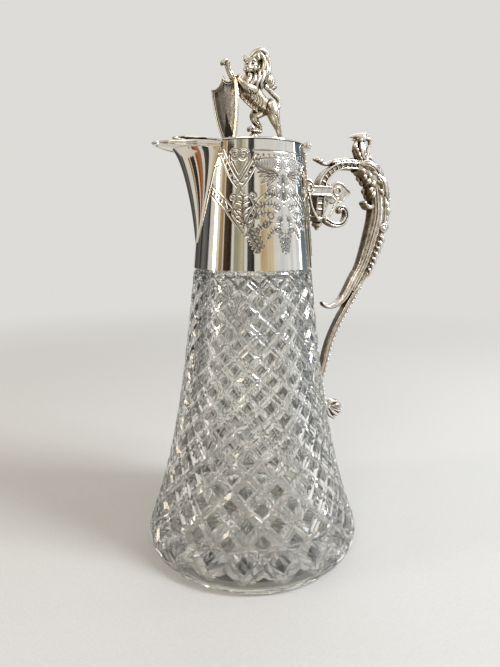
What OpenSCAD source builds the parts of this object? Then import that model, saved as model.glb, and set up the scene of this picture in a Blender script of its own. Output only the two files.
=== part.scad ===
// Claret jug: cut-glass body, silver-plated collar with a spout, hinged lid with a lion
// and shield finial, and a cast scroll handle. The spout points along -X and the handle
// along +X. Z is up, and the origin is on the jug's axis in the plane it stands on.

/* [Glass body] */
// Height of the lower edge of the collar above the table
glass_h = 168; // [155:1:180]
// Radius of the widest part of the glass
base_r = 65.5; // [60:0.5:70]
// Height of the widest part above the table
base_z = 8; // [6:0.5:10]
// Radius of the glass just under the collar
waist_r = 34; // [33:0.1:35]
// How much of the spread from waist to base is in the curved flare near the base
flare_r = 13; // [8:0.5:18]
// Outer radius of the ring that the glass stands on
foot_r = 62.8; // [58:0.1:63.5]
// Width of the ring that the glass stands on
foot_w = 9; // [5:0.5:12]
// Depth of the hollow under the base
foot_recess = 1.6; // [1:0.1:3]
// Wall thickness of the glass
glass_wall = 6; // [5:0.25:7]
// Thickness of the glass floor
glass_floor = 12; // [9:0.5:16]

/* [Cut pattern] */
// Number of spiral mitre cuts each way round
cuts = 20; // [16:1:24]
// Depth of the mitre cuts
cut_depth = 1.7; // [1:0.1:2.2]
// Part of each diamond that stays flat on top
flat_share = 0.56; // [0.4:0.02:0.7]
// Height at which the cuts start above the table
cut_low = 17; // [13:0.2:20]
// How far the ends of the cuts run out into the plain band
cut_runout = 8.2; // [2:0.1:8.6]
// How far the pattern is turned about the jug's axis, in degrees
cut_turn = 20.5; // [0:0.5:36]
// Depth of the star cut under the base
star_depth = 1.5; // [0.5:0.1:2.5]

/* [Neck and plaster] */
// Outer radius of the glass neck inside the collar
neck_r = 30.6; // [29:0.1:31]
// Bore radius of the neck
neck_bore_r = 26.6; // [24:0.1:27]
// Height of the neck inside the collar
neck_h = 10; // [8:0.5:11]

/* [Collar] */
// Height of the collar
collar_h = 65.2; // [60:0.2:72]
// Outer radius of the collar at its lower edge
collar_low_r = 34.4; // [34:0.1:36]
// Outer radius of the collar at its mouth
collar_top_r = 28.1; // [27.5:0.1:30]
// Thickness of the collar's sheet metal
sheet = 1; // [0.8:0.05:1.2]
// Thickness of the wire inside the mouth
wire_t = 0.8; // [0.6:0.05:1]
// Height of the wire inside the mouth
wire_h = 2.4; // [1.5:0.1:3]

/* [Spout] */
// How far the tip of the spout is from the axis
spout_reach = 54.6; // [48:0.2:60]
// Half width of the spout where it leaves the mouth
spout_half_w = 16.2; // [14:0.1:17]
// Height of the lowest point of the spout below the mouth
spout_drop = 52; // [46:0.5:54]
// Thickness of the moulding round the lip
lip_h = 2.8; // [2:0.1:3.5]
// How far the moulding stands out from the lip
lip_out = 1.3; // [0.8:0.1:2]

/* [Lid] */
// How far the lid stands out from the mouth
lid_over = 0.2; // [0:0.05:0.9]
// Thickness of the lid
lid_t = 1.2; // [1:0.1:1.8]
// Gap between the closed lid and the mouth
lid_gap = 0.3; // [0.2:0.05:0.5]
// How far the tip of the lid's tongue is from the axis
tongue_reach = 45; // [42:0.2:50]
// Half width of the tongue where it leaves the lid
tongue_half_w = 13.6; // [12:0.1:14.5]
// Tilt of the tongue above the lid, in degrees
tongue_tilt = 4.2; // [0:0.2:6]
// Depth of the ring under the lid
bezel_h = 3.2; // [2.5:0.1:4]
// Thickness of the ring under the lid
bezel_t = 0.9; // [0.7:0.05:1.2]
// Gap between the ring and the wire inside the mouth
bezel_gap = 0.8; // [0.6:0.05:1.2]

/* [Hinge] */
// Distance of the hinge axis from the mouth's edge
hinge_out = 2.8; // [2.7:0.1:3.4]
// Height of the hinge axis above the mouth
hinge_up = 2.1; // [1.8:0.1:2.4]
// Radius of the hinge pin
pin_r = 1; // [0.8:0.05:1.2]
// Running clearance of the lid's knuckle on the pin
pin_clear = 0.06; // [0.03:0.01:0.1]
// Radius of the knuckles
knuckle_r = 2.4; // [2.1:0.05:2.6]
// Length of the lid's knuckle
lid_knuckle_l = 6; // [5:0.2:8]
// Length of each of the collar's two knuckles
collar_knuckle_l = 3.4; // [2.6:0.2:5]
// End gap between the knuckles
knuckle_gap = 0.25; // [0.15:0.05:0.4]
// Radius of the balls on the ends of the pin
pin_ball_r = 1.6; // [1.3:0.1:2.2]

/* [Finial] */
// Turn of the lion from the line of the spout, in degrees
lion_turn = 15; // [0:1:25]
// Radius of the ball under the lion's paw
paw_ball_r = 2.9; // [2.4:0.1:3.2]
// Radius of the studs that hold the lion
stud_r = 1.25; // [1:0.05:1.5]
// Length of the studs below the lid
stud_l = 3.4; // [3:0.1:4]
// Radius of the washers under the lid
washer_r = 3; // [2.5:0.1:3.4]
// Thickness of the washers
washer_t = 0.6; // [0.4:0.05:0.8]
// Size of the nuts across their corners
nut_d = 5; // [4.4:0.1:5.6]
// Thickness of the nuts
nut_t = 1.8; // [1.4:0.1:2.2]
// Width of the shield
shield_w = 20.6; // [18:0.2:23]
// Height of the shield
shield_h = 36; // [32:0.2:37]
// Thickness of the shield
shield_t = 1.6; // [1.2:0.1:2]
// Width of the raised border round the shield
shield_border = 1.5; // [1:0.1:2]
// Turn of the shield from the line of the spout, in degrees
shield_turn = 23; // [10:1:30]
// Lean of the shield away from the near side, in degrees
shield_lean = 8; // [0:1:12]

/* [Handle] */
// Distance of the outermost point of the handle from the axis
grip_reach = 91; // [86:0.5:96]
// Width of the handle casting across the grip
grip_w = 10; // [8:0.25:11]
// Width of the arch between the two bracket plates
arch_w = 8.6; // [7:0.1:9.5]
// Width of the beaded strap
strap_w = 6.4; // [4.5:0.1:8]
// Thickness of the beaded strap
strap_t = 4.6; // [3.6:0.1:5]
// Number of beads on the strap
strap_beads = 22; // [14:1:26]

/* [Bracket] */
// Thickness of each bracket plate
plate_t = 1.5; // [1.2:0.1:2]
// Half of the angle that the beaded back strap covers, in degrees
back_angle = 13; // [11:1:15]
// Thickness of the back strap
back_t = 1.8; // [1.4:0.1:2.2]
// Radius of the beads along the back strap
back_bead_r = 0.95; // [0.7:0.05:1.1]
// Number of beads down each side of the back strap
back_beads = 15; // [10:1:18]
// Radius of the turned boss under the arch
boss_r = 4; // [3.7:0.1:4.2]
// Radius of the two rivets through the boss
rivet_r = 0.8; // [0.6:0.05:1]

/* [Hidden] */

$fn = 64;
STEP_A = 180 / cuts;
mouth_z = glass_h + collar_h - 0.2;
collar_low_z = glass_h - 0.2;
neck_top_z = glass_h + neck_h;
lid_z = mouth_z + lid_gap;
lid_top_z = lid_z + lid_t;
lid_r = collar_top_r + lid_over;
hinge_x = collar_top_r + hinge_out;
hinge_z = mouth_z + hinge_up;
joint_clear = 0.3;
seam = 0.05;

// ---- Shared forms ----

// Outer radius of the glass at height z: a straight cone with a flare near the base
function rise(z) = max(0, min(1, 1 - (z - base_z) / (glass_h - base_z)));
function glass_r(z) = waist_r + (base_r - waist_r - flare_r) * rise(z) + flare_r * pow(rise(z), 3.2);
// Outer radius of the collar at height z
function collar_r(z) = collar_top_r + (collar_low_r - collar_top_r) * (mouth_z - z) / collar_h;

function polar(r, a, z) = [r * cos(a), r * sin(a), z];
function total(v, i = 0) = i < len(v) ? v[i] + total(v, i + 1) : 0;
function unit(v) = v / norm(v);
function blend(a, b, c, d, t) = 0.5 * (2 * b + (c - a) * t + (2 * a - 5 * b + 4 * c - d) * t * t
  + (3 * b - a - 3 * c + d) * t * t * t);
// A smooth run of n steps through each pair of stations
function smooth(p, n) = [for (i = [0:len(p) - 2]) for (k = [0:n - 1])
  blend(p[max(i - 1, 0)], p[i], p[i + 1], p[min(i + 2, len(p) - 1)], k / n), p[len(p) - 1]];
function swell(v, e) = sign(v) * pow(abs(v), e);

// A bar in the plane of the handle. Each station is [x, z, thickness, width]; a low
// square value gives it a squarer section, and side moves it across the handle.
module swept_bar(stations, sides = 8, square = 0.75, side = 0) {
  swept_form([for (s = stations) [s[0], s[1]]], [for (s = stations) [for (k = [0:sides - 1])
    let (a = 360 * (k + 0.5) / sides) [s[2] / 2 * swell(cos(a), square), side + s[3] / 2 * swell(sin(a), square)]]]);
}

// A form swept along points in the plane of the handle, with its section at each point
// given as [away from the path, across the handle]
module swept_form(path, sections) {
  last = len(path) - 1;
  sides = len(sections[0]);
  way = [for (i = [0:last]) unit(path[min(i + 1, last)] - path[max(i - 1, 0)])];
  points = [for (i = [0:last]) for (q = sections[i]) [path[i][0] - way[i][1] * q[0], q[1], path[i][1] + way[i][0] * q[0]]];
  walls = [for (i = [0:last - 1]) for (k = [0:sides - 1]) let (m = (k + 1) % sides)
    each [[i * sides + k, i * sides + m, (i + 1) * sides + m],
      [i * sides + k, (i + 1) * sides + m, (i + 1) * sides + k]]];
  start_cap = [[for (k = [sides - 1:-1:0]) k]];
  end_cap = [[for (k = [0:sides - 1]) last * sides + k]];
  polyhedron(points, concat(walls, start_cap, end_cap));
}

// A limb between two balls, each given as [x, y, z, radius]
module limb(a, b, sides = 12) {
  hull() {
    translate([a[0], a[1], a[2]]) sphere(r = a[3], $fn = sides);
    translate([b[0], b[1], b[2]]) sphere(r = b[3], $fn = sides);
  }
}

// The solid inside the collar's outer face, grown by extra
module collar_form(extra = 0) {
  rotate_extrude() polygon([[0, collar_low_z - 5], [collar_r(collar_low_z - 5) + extra, collar_low_z - 5],
    [collar_r(mouth_z + 5) + extra, mouth_z + 5], [0, mouth_z + 5]]);
}

// ---- Glass ----

// Heights of the rows where cuts cross, spaced so that the cuts run at a steady angle
turn_sum = total([for (i = [0:39]) (glass_h - 4 - cut_low) / 40 / glass_r(cut_low + (i + 0.5) * (glass_h - 4 - cut_low) / 40)]);
rows = round(turn_sum * cuts / PI);
cut_high = glass_h - 3;
runout_z = max(cut_low - cut_runout, base_z + 0.4);
function raw_rows(n, z) = n == 0 ? [z] : concat([z], raw_rows(n - 1, z + PI / cuts * glass_r(z)));
raw_z = raw_rows(rows, cut_low);
row_z = [for (z = raw_z) cut_low + (z - cut_low) * (cut_high - cut_low) / (raw_z[rows] - cut_low)];

module glass_blank() {
  n = 2 * cuts;
  // Low points where cuts cross
  crossings = [for (j = [0:rows]) for (i = [0:cuts - 1])
    polar(glass_r(row_z[j]) - cut_depth, (2 * i + j % 2) * STEP_A, row_z[j])];
  // Four corners of each flat diamond top: left, upper, right and lower
  tops = [for (j = [0:rows]) for (i = [0:cuts - 1])
    let (c = 2 * i + 1 + j % 2, up = j < rows ? row_z[j] + flat_share * (row_z[j + 1] - row_z[j]) : row_z[j],
      down = j > 0 ? row_z[j] - flat_share * (row_z[j] - row_z[j - 1]) : row_z[j])
    each [polar(glass_r(row_z[j]), (c - flat_share) * STEP_A, row_z[j]), polar(glass_r(up), c * STEP_A, up),
      polar(glass_r(row_z[j]), (c + flat_share) * STEP_A, row_z[j]), polar(glass_r(down), c * STEP_A, down)]];
  // Plain rings above and below the cut band, each [radius, height]
  above = [[glass_r(cut_high) - 0.1, cut_high + 2], [neck_r, glass_h - 0.4], [neck_r, neck_top_z]];
  below = [[glass_r(runout_z), runout_z], [base_r, base_z],
    [base_r - 0.5, base_z * 0.4], [foot_r, 0], [foot_r - foot_w, 0], [foot_r - foot_w - 2, foot_recess]];
  rings = [for (r = concat(above, below)) for (k = [0:n - 1]) polar(r[0], k * STEP_A, r[1])];
  star = [for (k = [0:n - 1]) polar(foot_r - foot_w - 7, k * STEP_A, foot_recess + (k % 2) * star_depth)];
  points = concat(crossings, tops, rings, star, [[0, 0, foot_recess + 0.4]]);
  v0 = 0;
  t0 = len(crossings);
  r0 = t0 + len(tops);
  s0 = r0 + len(rings);
  hub = s0 + n;
  // Point numbers: crossing at column c of row j, corner q of the diamond at column c of row j
  function wrap(c) = (c + 2 * n) % n;
  function cross_at(c, j) = v0 + j * cuts + floor((wrap(c) - j % 2) / 2);
  function top_at(c, j, q) = t0 + 4 * (j * cuts + floor((wrap(c - 1 - j % 2)) / 2)) + q;
  function ring_at(r, k) = r0 + r * n + wrap(k);
  function star_at(k) = s0 + wrap(k);
  diamonds = [for (j = [1:rows - 1]) for (i = [0:cuts - 1]) let (c = 2 * i + 1 + j % 2,
      vl = cross_at(c - 1, j), vr = cross_at(c + 1, j), vu = cross_at(c, j + 1), vd = cross_at(c, j - 1),
      l = top_at(c, j, 0), u = top_at(c, j, 1), r = top_at(c, j, 2), d = top_at(c, j, 3))
    each [[l, u, r], [l, r, d], [vl, vu, u], [vl, u, l], [vu, vr, r], [vu, r, u],
      [vr, vd, d], [vr, d, r], [vd, vl, l], [vd, l, d]]];
  low_edge = [for (i = [0:cuts - 1]) let (c = 2 * i + 1,
      vl = cross_at(c - 1, 0), vr = cross_at(c + 1, 0), vu = cross_at(c, 1),
      l = top_at(c, 0, 0), u = top_at(c, 0, 1), r = top_at(c, 0, 2),
      pl = ring_at(3, c - 1), pm = ring_at(3, c), pr = ring_at(3, c + 1))
    each [[l, u, r], [vl, vu, u], [vl, u, l], [vu, vr, r], [vu, r, u],
      [vl, l, pl], [l, pm, pl], [l, r, pm], [r, pr, pm], [r, vr, pr]]];
  high_edge = [for (i = [0:cuts - 1]) let (c = 2 * i + 1 + rows % 2,
      vl = cross_at(c - 1, rows), vr = cross_at(c + 1, rows), vd = cross_at(c, rows - 1),
      l = top_at(c, rows, 0), r = top_at(c, rows, 2), d = top_at(c, rows, 3),
      pl = ring_at(0, c - 1), pm = ring_at(0, c), pr = ring_at(0, c + 1))
    each [[l, r, d], [vr, vd, d], [vr, d, r], [vd, vl, l], [vd, l, d],
      [vl, pl, l], [l, pl, pm], [l, pm, r], [r, pm, pr], [r, pr, vr]]];
  // Bands between neighbouring plain rings, upper ring first
  bands = [for (b = [[1, 0], [2, 1], [3, 4], [4, 5], [5, 6], [6, 7], [7, 8]]) for (k = [0:n - 1])
    each [[ring_at(b[1], k), ring_at(b[0], k), ring_at(b[0], k + 1)],
      [ring_at(b[1], k), ring_at(b[0], k + 1), ring_at(b[1], k + 1)]]];
  star_faces = [for (k = [0:n - 1]) each [[star_at(k), ring_at(8, k), ring_at(8, k + 1)],
    [star_at(k), ring_at(8, k + 1), star_at(k + 1)], [hub, star_at(k), star_at(k + 1)]]];
  top_face = [[for (k = [n - 1:-1:0]) ring_at(2, k)]];
  polyhedron(points, concat(diamonds, low_edge, high_edge, bands, star_faces, top_face));
}

// The hollow of the jug
module glass_hollow() {
  low = glass_floor + 7;
  steps = 9;
  rotate_extrude() polygon(concat([[0, glass_floor], [glass_r(low) - glass_wall - 7, glass_floor],
    [glass_r(low) - glass_wall - 2, glass_floor + 2]],
    [for (i = [0:steps]) let (z = low + (glass_h - 10 - low) * i / steps) [glass_r(z) - glass_wall, z]],
    [[neck_bore_r, glass_h - 2], [neck_bore_r, neck_top_z + 1], [0, neck_top_z + 1]]));
}

module glass_body() {
  color([0.86, 0.9, 0.9, 0.5]) difference() {
    rotate([0, 0, cut_turn]) glass_blank();
    glass_hollow();
  }
}

// Plaster that beds the neck in the collar
module plaster_ring() {
  color("ivory") rotate_extrude() polygon([[neck_r, glass_h + 0.3], [collar_r(glass_h + 0.3) - sheet, glass_h + 0.3],
    [collar_r(neck_top_z) - sheet, neck_top_z], [neck_r, neck_top_z]]);
}

// ---- Collar and spout ----

// The V-shaped way from the collar into the spout, narrower than the spout by inset
module spout_way(inset) {
  rotate([90, 0, -90]) linear_extrude(height = spout_reach) polygon([
    [-(spout_half_w - inset), mouth_z + 1], [0, mouth_z - spout_drop + 2 * inset],
    [spout_half_w - inset, mouth_z + 1]]);
}

module collar() {
  color("silver") difference() {
    rotate_extrude() polygon([[collar_low_r - sheet, collar_low_z], [collar_low_r, collar_low_z],
      [collar_top_r, mouth_z], [collar_top_r - sheet, mouth_z]]);
    spout_way(1.2);
  }
}

module mouth_wire() {
  outer = collar_r(mouth_z) - sheet;
  color("silver") difference() {
    rotate_extrude() polygon([[collar_r(mouth_z - wire_h) - sheet, mouth_z - wire_h], [outer, mouth_z],
      [outer - wire_t, mouth_z], [outer - wire_t, mouth_z - wire_h]]);
    spout_way(1.2);
  }
}

// Half width and reach of the spout at height z
function spout_up(z) = max(0, min(1, (z - mouth_z + spout_drop) / spout_drop));
function spout_w(z) = spout_half_w * (0.82 * spout_up(z) + 0.18 * (1 - pow(1 - spout_up(z), 12)));
function spout_keel(z) = collar_r(z) + 0.7 + (spout_reach - collar_top_r - 0.7)
  * (0.28 * spout_up(z) + 0.31 * pow(spout_up(z), 2) + 0.14 * pow(spout_up(z), 11));
ARCH_STEPS = 12;
// A pointed arch in plan, from one side of the spout round the tip to the other
function arch_plan(reach, half_w, root, point = 1.65) = [for (i = [0:ARCH_STEPS])
  let (s = 1 - 2 * i / ARCH_STEPS, y = sin(s * 90), f = pow(1 - pow(abs(y), 2), 1 / point))
  [-(root + (reach - root) * f), half_w * y]];
// Where the spout's wall at half width w meets the collar at height z
function spout_root(z, w) = sqrt(pow(collar_r(z) + 0.1, 2) - w * w);

// A trough of sheet metal: each level is the outer arch and, in the other direction, the inner one
module spout() {
  low = mouth_z - spout_drop;
  top = mouth_z - lip_h;
  most = spout_half_w - sheet - seam;
  levels = concat([for (u = [0.015, 0.05, 0.1, 0.18, 0.28, 0.4, 0.54, 0.68, 0.8, 0.89, 0.96, 1])
      let (z = low + u * (top - low)) [z, min(most, spout_w(z)), spout_keel(z)]],
    [[mouth_z - 0.8, most, spout_reach - sheet - seam]]);
  last = len(levels) - 1;
  n = 2 * (ARCH_STEPS + 1);
  points = [for (v = levels) let (z = v[0], w = v[1], root = spout_root(z, w), inner_w = w - min(sheet, 0.6 * w),
      inner_reach = v[2] - min(sheet, 0.5 * (v[2] - root)), outer = arch_plan(v[2], w, root),
      inner = arch_plan(inner_reach, inner_w, spout_root(z, inner_w)))
    each concat([for (p = outer) [p[0], p[1], z]], [for (i = [ARCH_STEPS:-1:0]) [inner[i][0], inner[i][1], z]])];
  walls = [for (j = [0:last - 1]) for (k = [0:n - 1]) let (m = (k + 1) % n)
    each [[j * n + k, (j + 1) * n + k, (j + 1) * n + m], [j * n + k, (j + 1) * n + m, j * n + m]]];
  caps = [for (k = [0:ARCH_STEPS - 1]) let (q = last * n) each [[k, k + 1, n - 2 - k], [k, n - 2 - k, n - 1 - k],
    [q + k + 1, q + k, q + n - 1 - k], [q + k + 1, q + n - 1 - k, q + n - 2 - k]]];
  color("silver") polyhedron(points, concat(walls, caps));
}

lip_root = spout_root(mouth_z - 0.8, spout_half_w - sheet - seam);

module lip_plan(grow) {
  polygon(concat(arch_plan(spout_reach + grow, spout_half_w + grow, lip_root),
    [[-(collar_top_r - 12), -(spout_half_w + grow)], [-(collar_top_r - 12), spout_half_w + grow]]));
}

module spout_rim() {
  step = lip_h * 0.3;
  color("silver") difference() {
    union() {
      translate([0, 0, mouth_z - lip_h + step]) linear_extrude(height = lip_h - 2 * step) lip_plan(lip_out);
      translate([0, 0, mouth_z - lip_h]) linear_extrude(height = lip_h) lip_plan(lip_out * 0.45);
    }
    // The moulding thins towards the tip
    rotate([90, 0, 0]) linear_extrude(height = 60, center = true) polygon([[-collar_top_r - 12, mouth_z - lip_h - 0.01],
      [-spout_reach - 3, mouth_z - lip_h * 0.36], [-spout_reach - 3, mouth_z - lip_h - 2], [-collar_top_r, mouth_z - lip_h - 2]]);
    translate([0, 0, mouth_z - lip_h - 1]) linear_extrude(height = lip_h + 2) lip_plan(-sheet);
    collar_form();
  }
}

// ---- Hinge ----

knuckle_mid = lid_knuckle_l / 2;
knuckle_in = knuckle_mid + knuckle_gap;
knuckle_end = knuckle_in + collar_knuckle_l;

module along_hinge(y0, y1, r) {
  translate([hinge_x, y1, hinge_z]) rotate([90, 0, 0]) cylinder(h = y1 - y0, r = r);
}

module collar_hinge() {
  color("silver") difference() {
    for (s = [-1, 1]) {
      along_hinge(min(s * knuckle_in, s * knuckle_end), max(s * knuckle_in, s * knuckle_end), knuckle_r);
      translate([collar_top_r - 2, s > 0 ? knuckle_in : -knuckle_end, back_top_z])
        cube([hinge_out + 2 + knuckle_r * 0.6, collar_knuckle_l, hinge_z - back_top_z]);
    }
    along_hinge(-knuckle_end - 1, knuckle_end + 1, pin_r);
    collar_form();
    translate([0, 0, mouth_z - 0.1]) cylinder(h = 8, r = lid_r + joint_clear);
  }
}

module hinge_pin() {
  color("silver") union() {
    along_hinge(-knuckle_end - 1, knuckle_end + 1, pin_r);
    for (s = [-1, 1])
      translate([hinge_x, s * (knuckle_end + pin_ball_r * 0.86), hinge_z]) sphere(r = pin_ball_r);
  }
}

module lid_hinge_leaf() {
  leaf_t = 1.3;
  color("silver") difference() {
    union() {
      along_hinge(-knuckle_mid, knuckle_mid, knuckle_r);
      translate([hinge_x - hinge_out - 5, -knuckle_mid, lid_top_z]) cube([hinge_out + 5, lid_knuckle_l, leaf_t]);
      translate([hinge_x - hinge_out - 5, 0, lid_top_z]) cylinder(h = leaf_t, r = knuckle_mid);
    }
    along_hinge(-knuckle_mid - 1, knuckle_mid + 1, pin_r + pin_clear);
    translate([0, 0, lid_z - 3]) cylinder(h = lid_t + 3, r = lid_r + seam);
  }
}

// ---- Back strap and bracket ----

back_top_z = hinge_z - knuckle_r - 0.3;
back_low_z = glass_h + 5;
bar_low = mouth_z - 24.5;
bar_high = mouth_z - 19.2;
bar_mid = (bar_low + bar_high) / 2;
eye_r = 4.7;
eye_z = bar_mid + 1.4;

module back_form(extra) {
  rotate([0, 0, -back_angle]) rotate_extrude(angle = 2 * back_angle)
    polygon([[collar_r(back_low_z), back_low_z], [collar_r(back_low_z) + back_t + extra, back_low_z + 1],
      [collar_r(back_top_z) + back_t + extra, back_top_z - 1], [collar_r(back_top_z), back_top_z]]);
}

module back_strap() {
  pitch = (back_top_z - back_low_z - 4) / (back_beads - 1);
  color("silver") union() {
    back_form(0);
    // No beads where the bracket plates stand on the strap
    for (s = [-1, 1]) for (i = [0:back_beads - 1]) let (z = back_low_z + 2 + i * pitch)
      if (abs(z - eye_z) > eye_r + back_bead_r + 0.2) translate(polar(collar_r(z) + back_t - 0.15, s * (back_angle - 1.9), z)) rotate([0, 37, 0]) sphere(r = back_bead_r);
  }
}

spade_x = 53.2;
boss_x = 41.4;
boss_z = mouth_z - 37.6;
boss_top = 2.4;
stay_near = [35.4, mouth_z - 31.8];
stay_far = [47.6, mouth_z - 35.6];
rivet_gap = 2.4;

module spade_outline() {
  polygon([[-5.8, 2.6], [-3.8, 4.1], [-1, 4.9], [1.8, 4.2], [4.9, 1.8], [7.5, -0.7], [4.6, -3], [2.9, -5.5],
    [0.4, -6.2], [-1.2, -5.2], [-3, -4.4], [-5.8, -2.6]]);
}

module thin_bar(a, b, w) {
  way = b - a;
  translate(a) rotate(atan2(way[1], way[0])) translate([0, -w / 2]) square([norm(way), w]);
  translate(b) circle(d = w);
}

module plate_outline() {
  difference() {
    union() {
      translate([collar_top_r, bar_low]) square([spade_x - 5 - collar_top_r, bar_high - bar_low]);
      translate([31.8, eye_z]) circle(r = eye_r);
      translate([spade_x, bar_mid]) spade_outline();
      thin_bar([33, bar_low + 0.4], stay_near, 1.4);
      thin_bar(stay_near, [boss_x - rivet_gap, boss_z], 1.4);
      thin_bar([spade_x - 1, bar_low - 1.8], stay_far, 1.4);
      thin_bar(stay_far, [boss_x + rivet_gap, boss_z], 1.4);
      for (s = [-1, 1]) translate([boss_x + s * rivet_gap, boss_z]) circle(r = 1.9);
      translate([boss_x - rivet_gap, boss_z - 0.9]) square([2 * rivet_gap, 1.8]);
    }
    translate([spade_x - 1.2, bar_mid]) circle(r = 1.5);
    translate([spade_x - 1.2, bar_mid]) rotate(45) square(1.5);
    translate([33.4, bar_mid + 1.6]) circle(r = 0.9);
    for (s = [-1, 1]) translate([boss_x + s * rivet_gap, boss_z]) circle(r = rivet_r);
    // The end that meets the back strap
    polygon([[0, glass_h], [strap_face(glass_h), glass_h], [strap_face(mouth_z), mouth_z], [0, mouth_z]]);
  }
}

// Where a plate beside the arch meets the curved face of the back strap at height z
function strap_face(z) = sqrt(pow(collar_r(z) + back_t, 2) - pow(arch_w / 2 + seam, 2)) + 0.02;

// One pierced side plate of the bracket, its inner face against the arch
module bracket_plate() {
  groove = 0.45;
  difference() {
    translate([0, arch_w / 2 + seam + plate_t, 0]) rotate([90, 0, 0]) linear_extrude(height = plate_t) plate_outline();
    translate([0, arch_w / 2 + seam + plate_t + 0.01, 0]) rotate([90, 0, 0]) linear_extrude(height = groove) {
      translate([35.6, bar_mid - 0.7]) square([spade_x - 5 - 35.6, 1.4]);
      difference() {
        translate([spade_x, bar_mid]) scale(0.72) spade_outline();
        translate([spade_x, bar_mid]) scale(0.5) spade_outline();
      }
    }
  }
}

module bracket_plate_far() { color("silver") bracket_plate(); }
module bracket_plate_near() { color("silver") mirror([0, 1, 0]) bracket_plate(); }

// Turned boss that gathers the arch, the stays and the lower scroll
module bracket_boss() {
  color("silver") difference() {
    translate([boss_x, 0, boss_z]) rotate_extrude() polygon([[0, -2], [2.4, -2], [3.2, -1.7], [boss_r - 0.5, -1.3],
      [boss_r, -0.6], [boss_r, 0.9], [boss_r - 0.7, 1.8], [3.4, boss_top], [0, boss_top]]);
    for (s = [-1, 1]) translate([boss_x + s * rivet_gap, boss_r + 1, boss_z]) rotate([90, 0, 0])
      cylinder(h = 2 * boss_r + 2, r = rivet_r);
  }
}

module bracket_rivets() {
  end = arch_w / 2 + seam + plate_t;
  color("silver") for (side = [-1, 1]) translate([boss_x + side * rivet_gap, 0, boss_z]) rotate([90, 0, 0]) {
    translate([0, 0, -end]) cylinder(h = 2 * end, r = rivet_r);
    for (s = [-1, 1]) translate([0, 0, s * end]) intersection() {
      sphere(r = rivet_r * 1.8);
      translate([0, 0, s > 0 ? 0 : -4]) cylinder(h = 4, r = 4);
    }
  }
}

module pendant_drop() {
  color("silver") translate([boss_x, 0, boss_z - 2]) rotate_extrude() polygon([[0, 0], [2.4, 0], [2.9, -0.5],
    [3.2, -1.2], [2.9, -2], [2.1, -2.8], [1.3, -3.4], [1.1, -3.8], [1.2, -4.2], [0.7, -4.7], [0, -4.9]]);
}

// ---- Handle castings, each path measured in the plane of the handle ----

out = grip_reach - 91;
// The castings were measured for a mouth this high, and hang from it
measured_mouth = 233;
lift = mouth_z - measured_mouth;
function raised(path) = [for (p = path) [p[0], p[1] + lift, p[2], p[3]]];
arch_path = raised([[66.5, 226.4, 3.8, arch_w], [60, 226.4, 3.8, arch_w], [54.5, 225.7, 3.8, arch_w],
  [49.8, 223.6, 4.2, arch_w], [46.2, 220.5, 4.6, arch_w], [43.6, 216.4, 5, arch_w], [42.2, 211, 5.2, arch_w],
  [41.8, 205, 5.4, arch_w], [boss_x, 197.3, 5.6, arch_w]]);
grip_path = raised([[66.5, 226.6, 7.4, grip_w - 1], [71.4 + out * 0.5, 225.7, 8.6, grip_w], [76.8 + out * 0.7, 222.6, 10.6, grip_w],
  [80.6 + out, 217.6, 11.4, grip_w], [82.6 + out, 211.6, 12.2, grip_w], [83.8 + out, 205, 12.6, grip_w],
  [84.2 + out, 198, 13, grip_w + 0.6], [83.3 + out, 191.4, 13, grip_w + 0.8], [81.4 + out, 184, 12.6, grip_w],
  [79.3 + out, 176.4, 11.8, grip_w - 0.4], [76 + out * 0.6, 167.4, 11, grip_w - 1],
  [72.6 + out * 0.3, 160.4, 10.4, grip_w - 1.6], [69, 154.2, 9.8, grip_w - 2]]);
curl_path = raised([[66.7, 155.5, 5, grip_w - 2], [63.8, 150.2, 5, grip_w - 2], [60.8, 145.8, 4.6, grip_w - 2.4],
  [57, 142.8, 3.6, grip_w - 3], [52.6, 141.4, 2.6, grip_w - 4], [49, 141.9, 2.4, grip_w - 5],
  [47.2, 144, 3, grip_w - 5.2]]);
inner_path = raised([[81.4 + out, 208, 3.4, 7.4], [80.6 + out, 204.4, 3.4, 7.4], [78.4 + out, 202.4, 3, 7],
  [75.9 + out * 0.7, 202.7, 3, 6.4], [74.3 + out * 0.5, 204.6, 3.6, 6], [74.5 + out * 0.5, 206.4, 1.6, 3.4]]);
tongue_path = raised([[67, 228.6, 3.4, 8], [62, 228.9, 3.6, 8.4], [56, 228.7, 3.8, 8.4], [50.4, 227.5, 3.4, 7], [46.6, 226.9, 2.4, 4.6],
  [44.2, 227.6, 2.8, 4.4], [41.4, 228.9, 3.2, 4.2], [38.2, 228.7, 1, 1.6]]);
scroll_path = raised([[boss_x + 3.6, 195.5, 3.2, 5.4], [47.6, 194.4, 3.4, 5.8], [51, 192.6, 3.4, 5.8], [55, 191.8, 3.4, 5.8],
  [58.8, 193, 3.2, 5.6], [61, 196.2, 3, 5.4], [60.9, 199.8, 2.8, 5.2], [58.6, 202.1, 2.8, 5], [56.2, 201.2, 3, 4.8],
  [56.4, 199.2, 2, 3.6]]);
// The strap runs free below the grip and then lies along the glass
strap_foot = 79;
strap_head = 152.6;
function strap_z(z) = z + lift * (z - strap_foot) / (strap_head - strap_foot);
// Upper stations as [x, z], then lower ones as [distance from the glass, z]
strap_free = concat([for (p = [[71.3, strap_head], [67.6, 146.6], [63.7, 140.3]]) [p[0], strap_z(p[1])]],
  [for (p = [[21.53, 133.6], [17.04, 126.6], [13.12, 119.6], [9.93, 112.4], [6.91, 104]])
    [glass_r(strap_z(p[1])) + p[0], strap_z(p[1])]]);
strap_rest = [for (z = [strap_foot + 15, strap_foot + 7, strap_foot]) [glass_r(strap_z(z)) + strap_t / 2 + 0.35, strap_z(z)]];
strap_line = smooth(concat(strap_free, strap_rest), 5);

arch_line = smooth(arch_path, 2);

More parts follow.
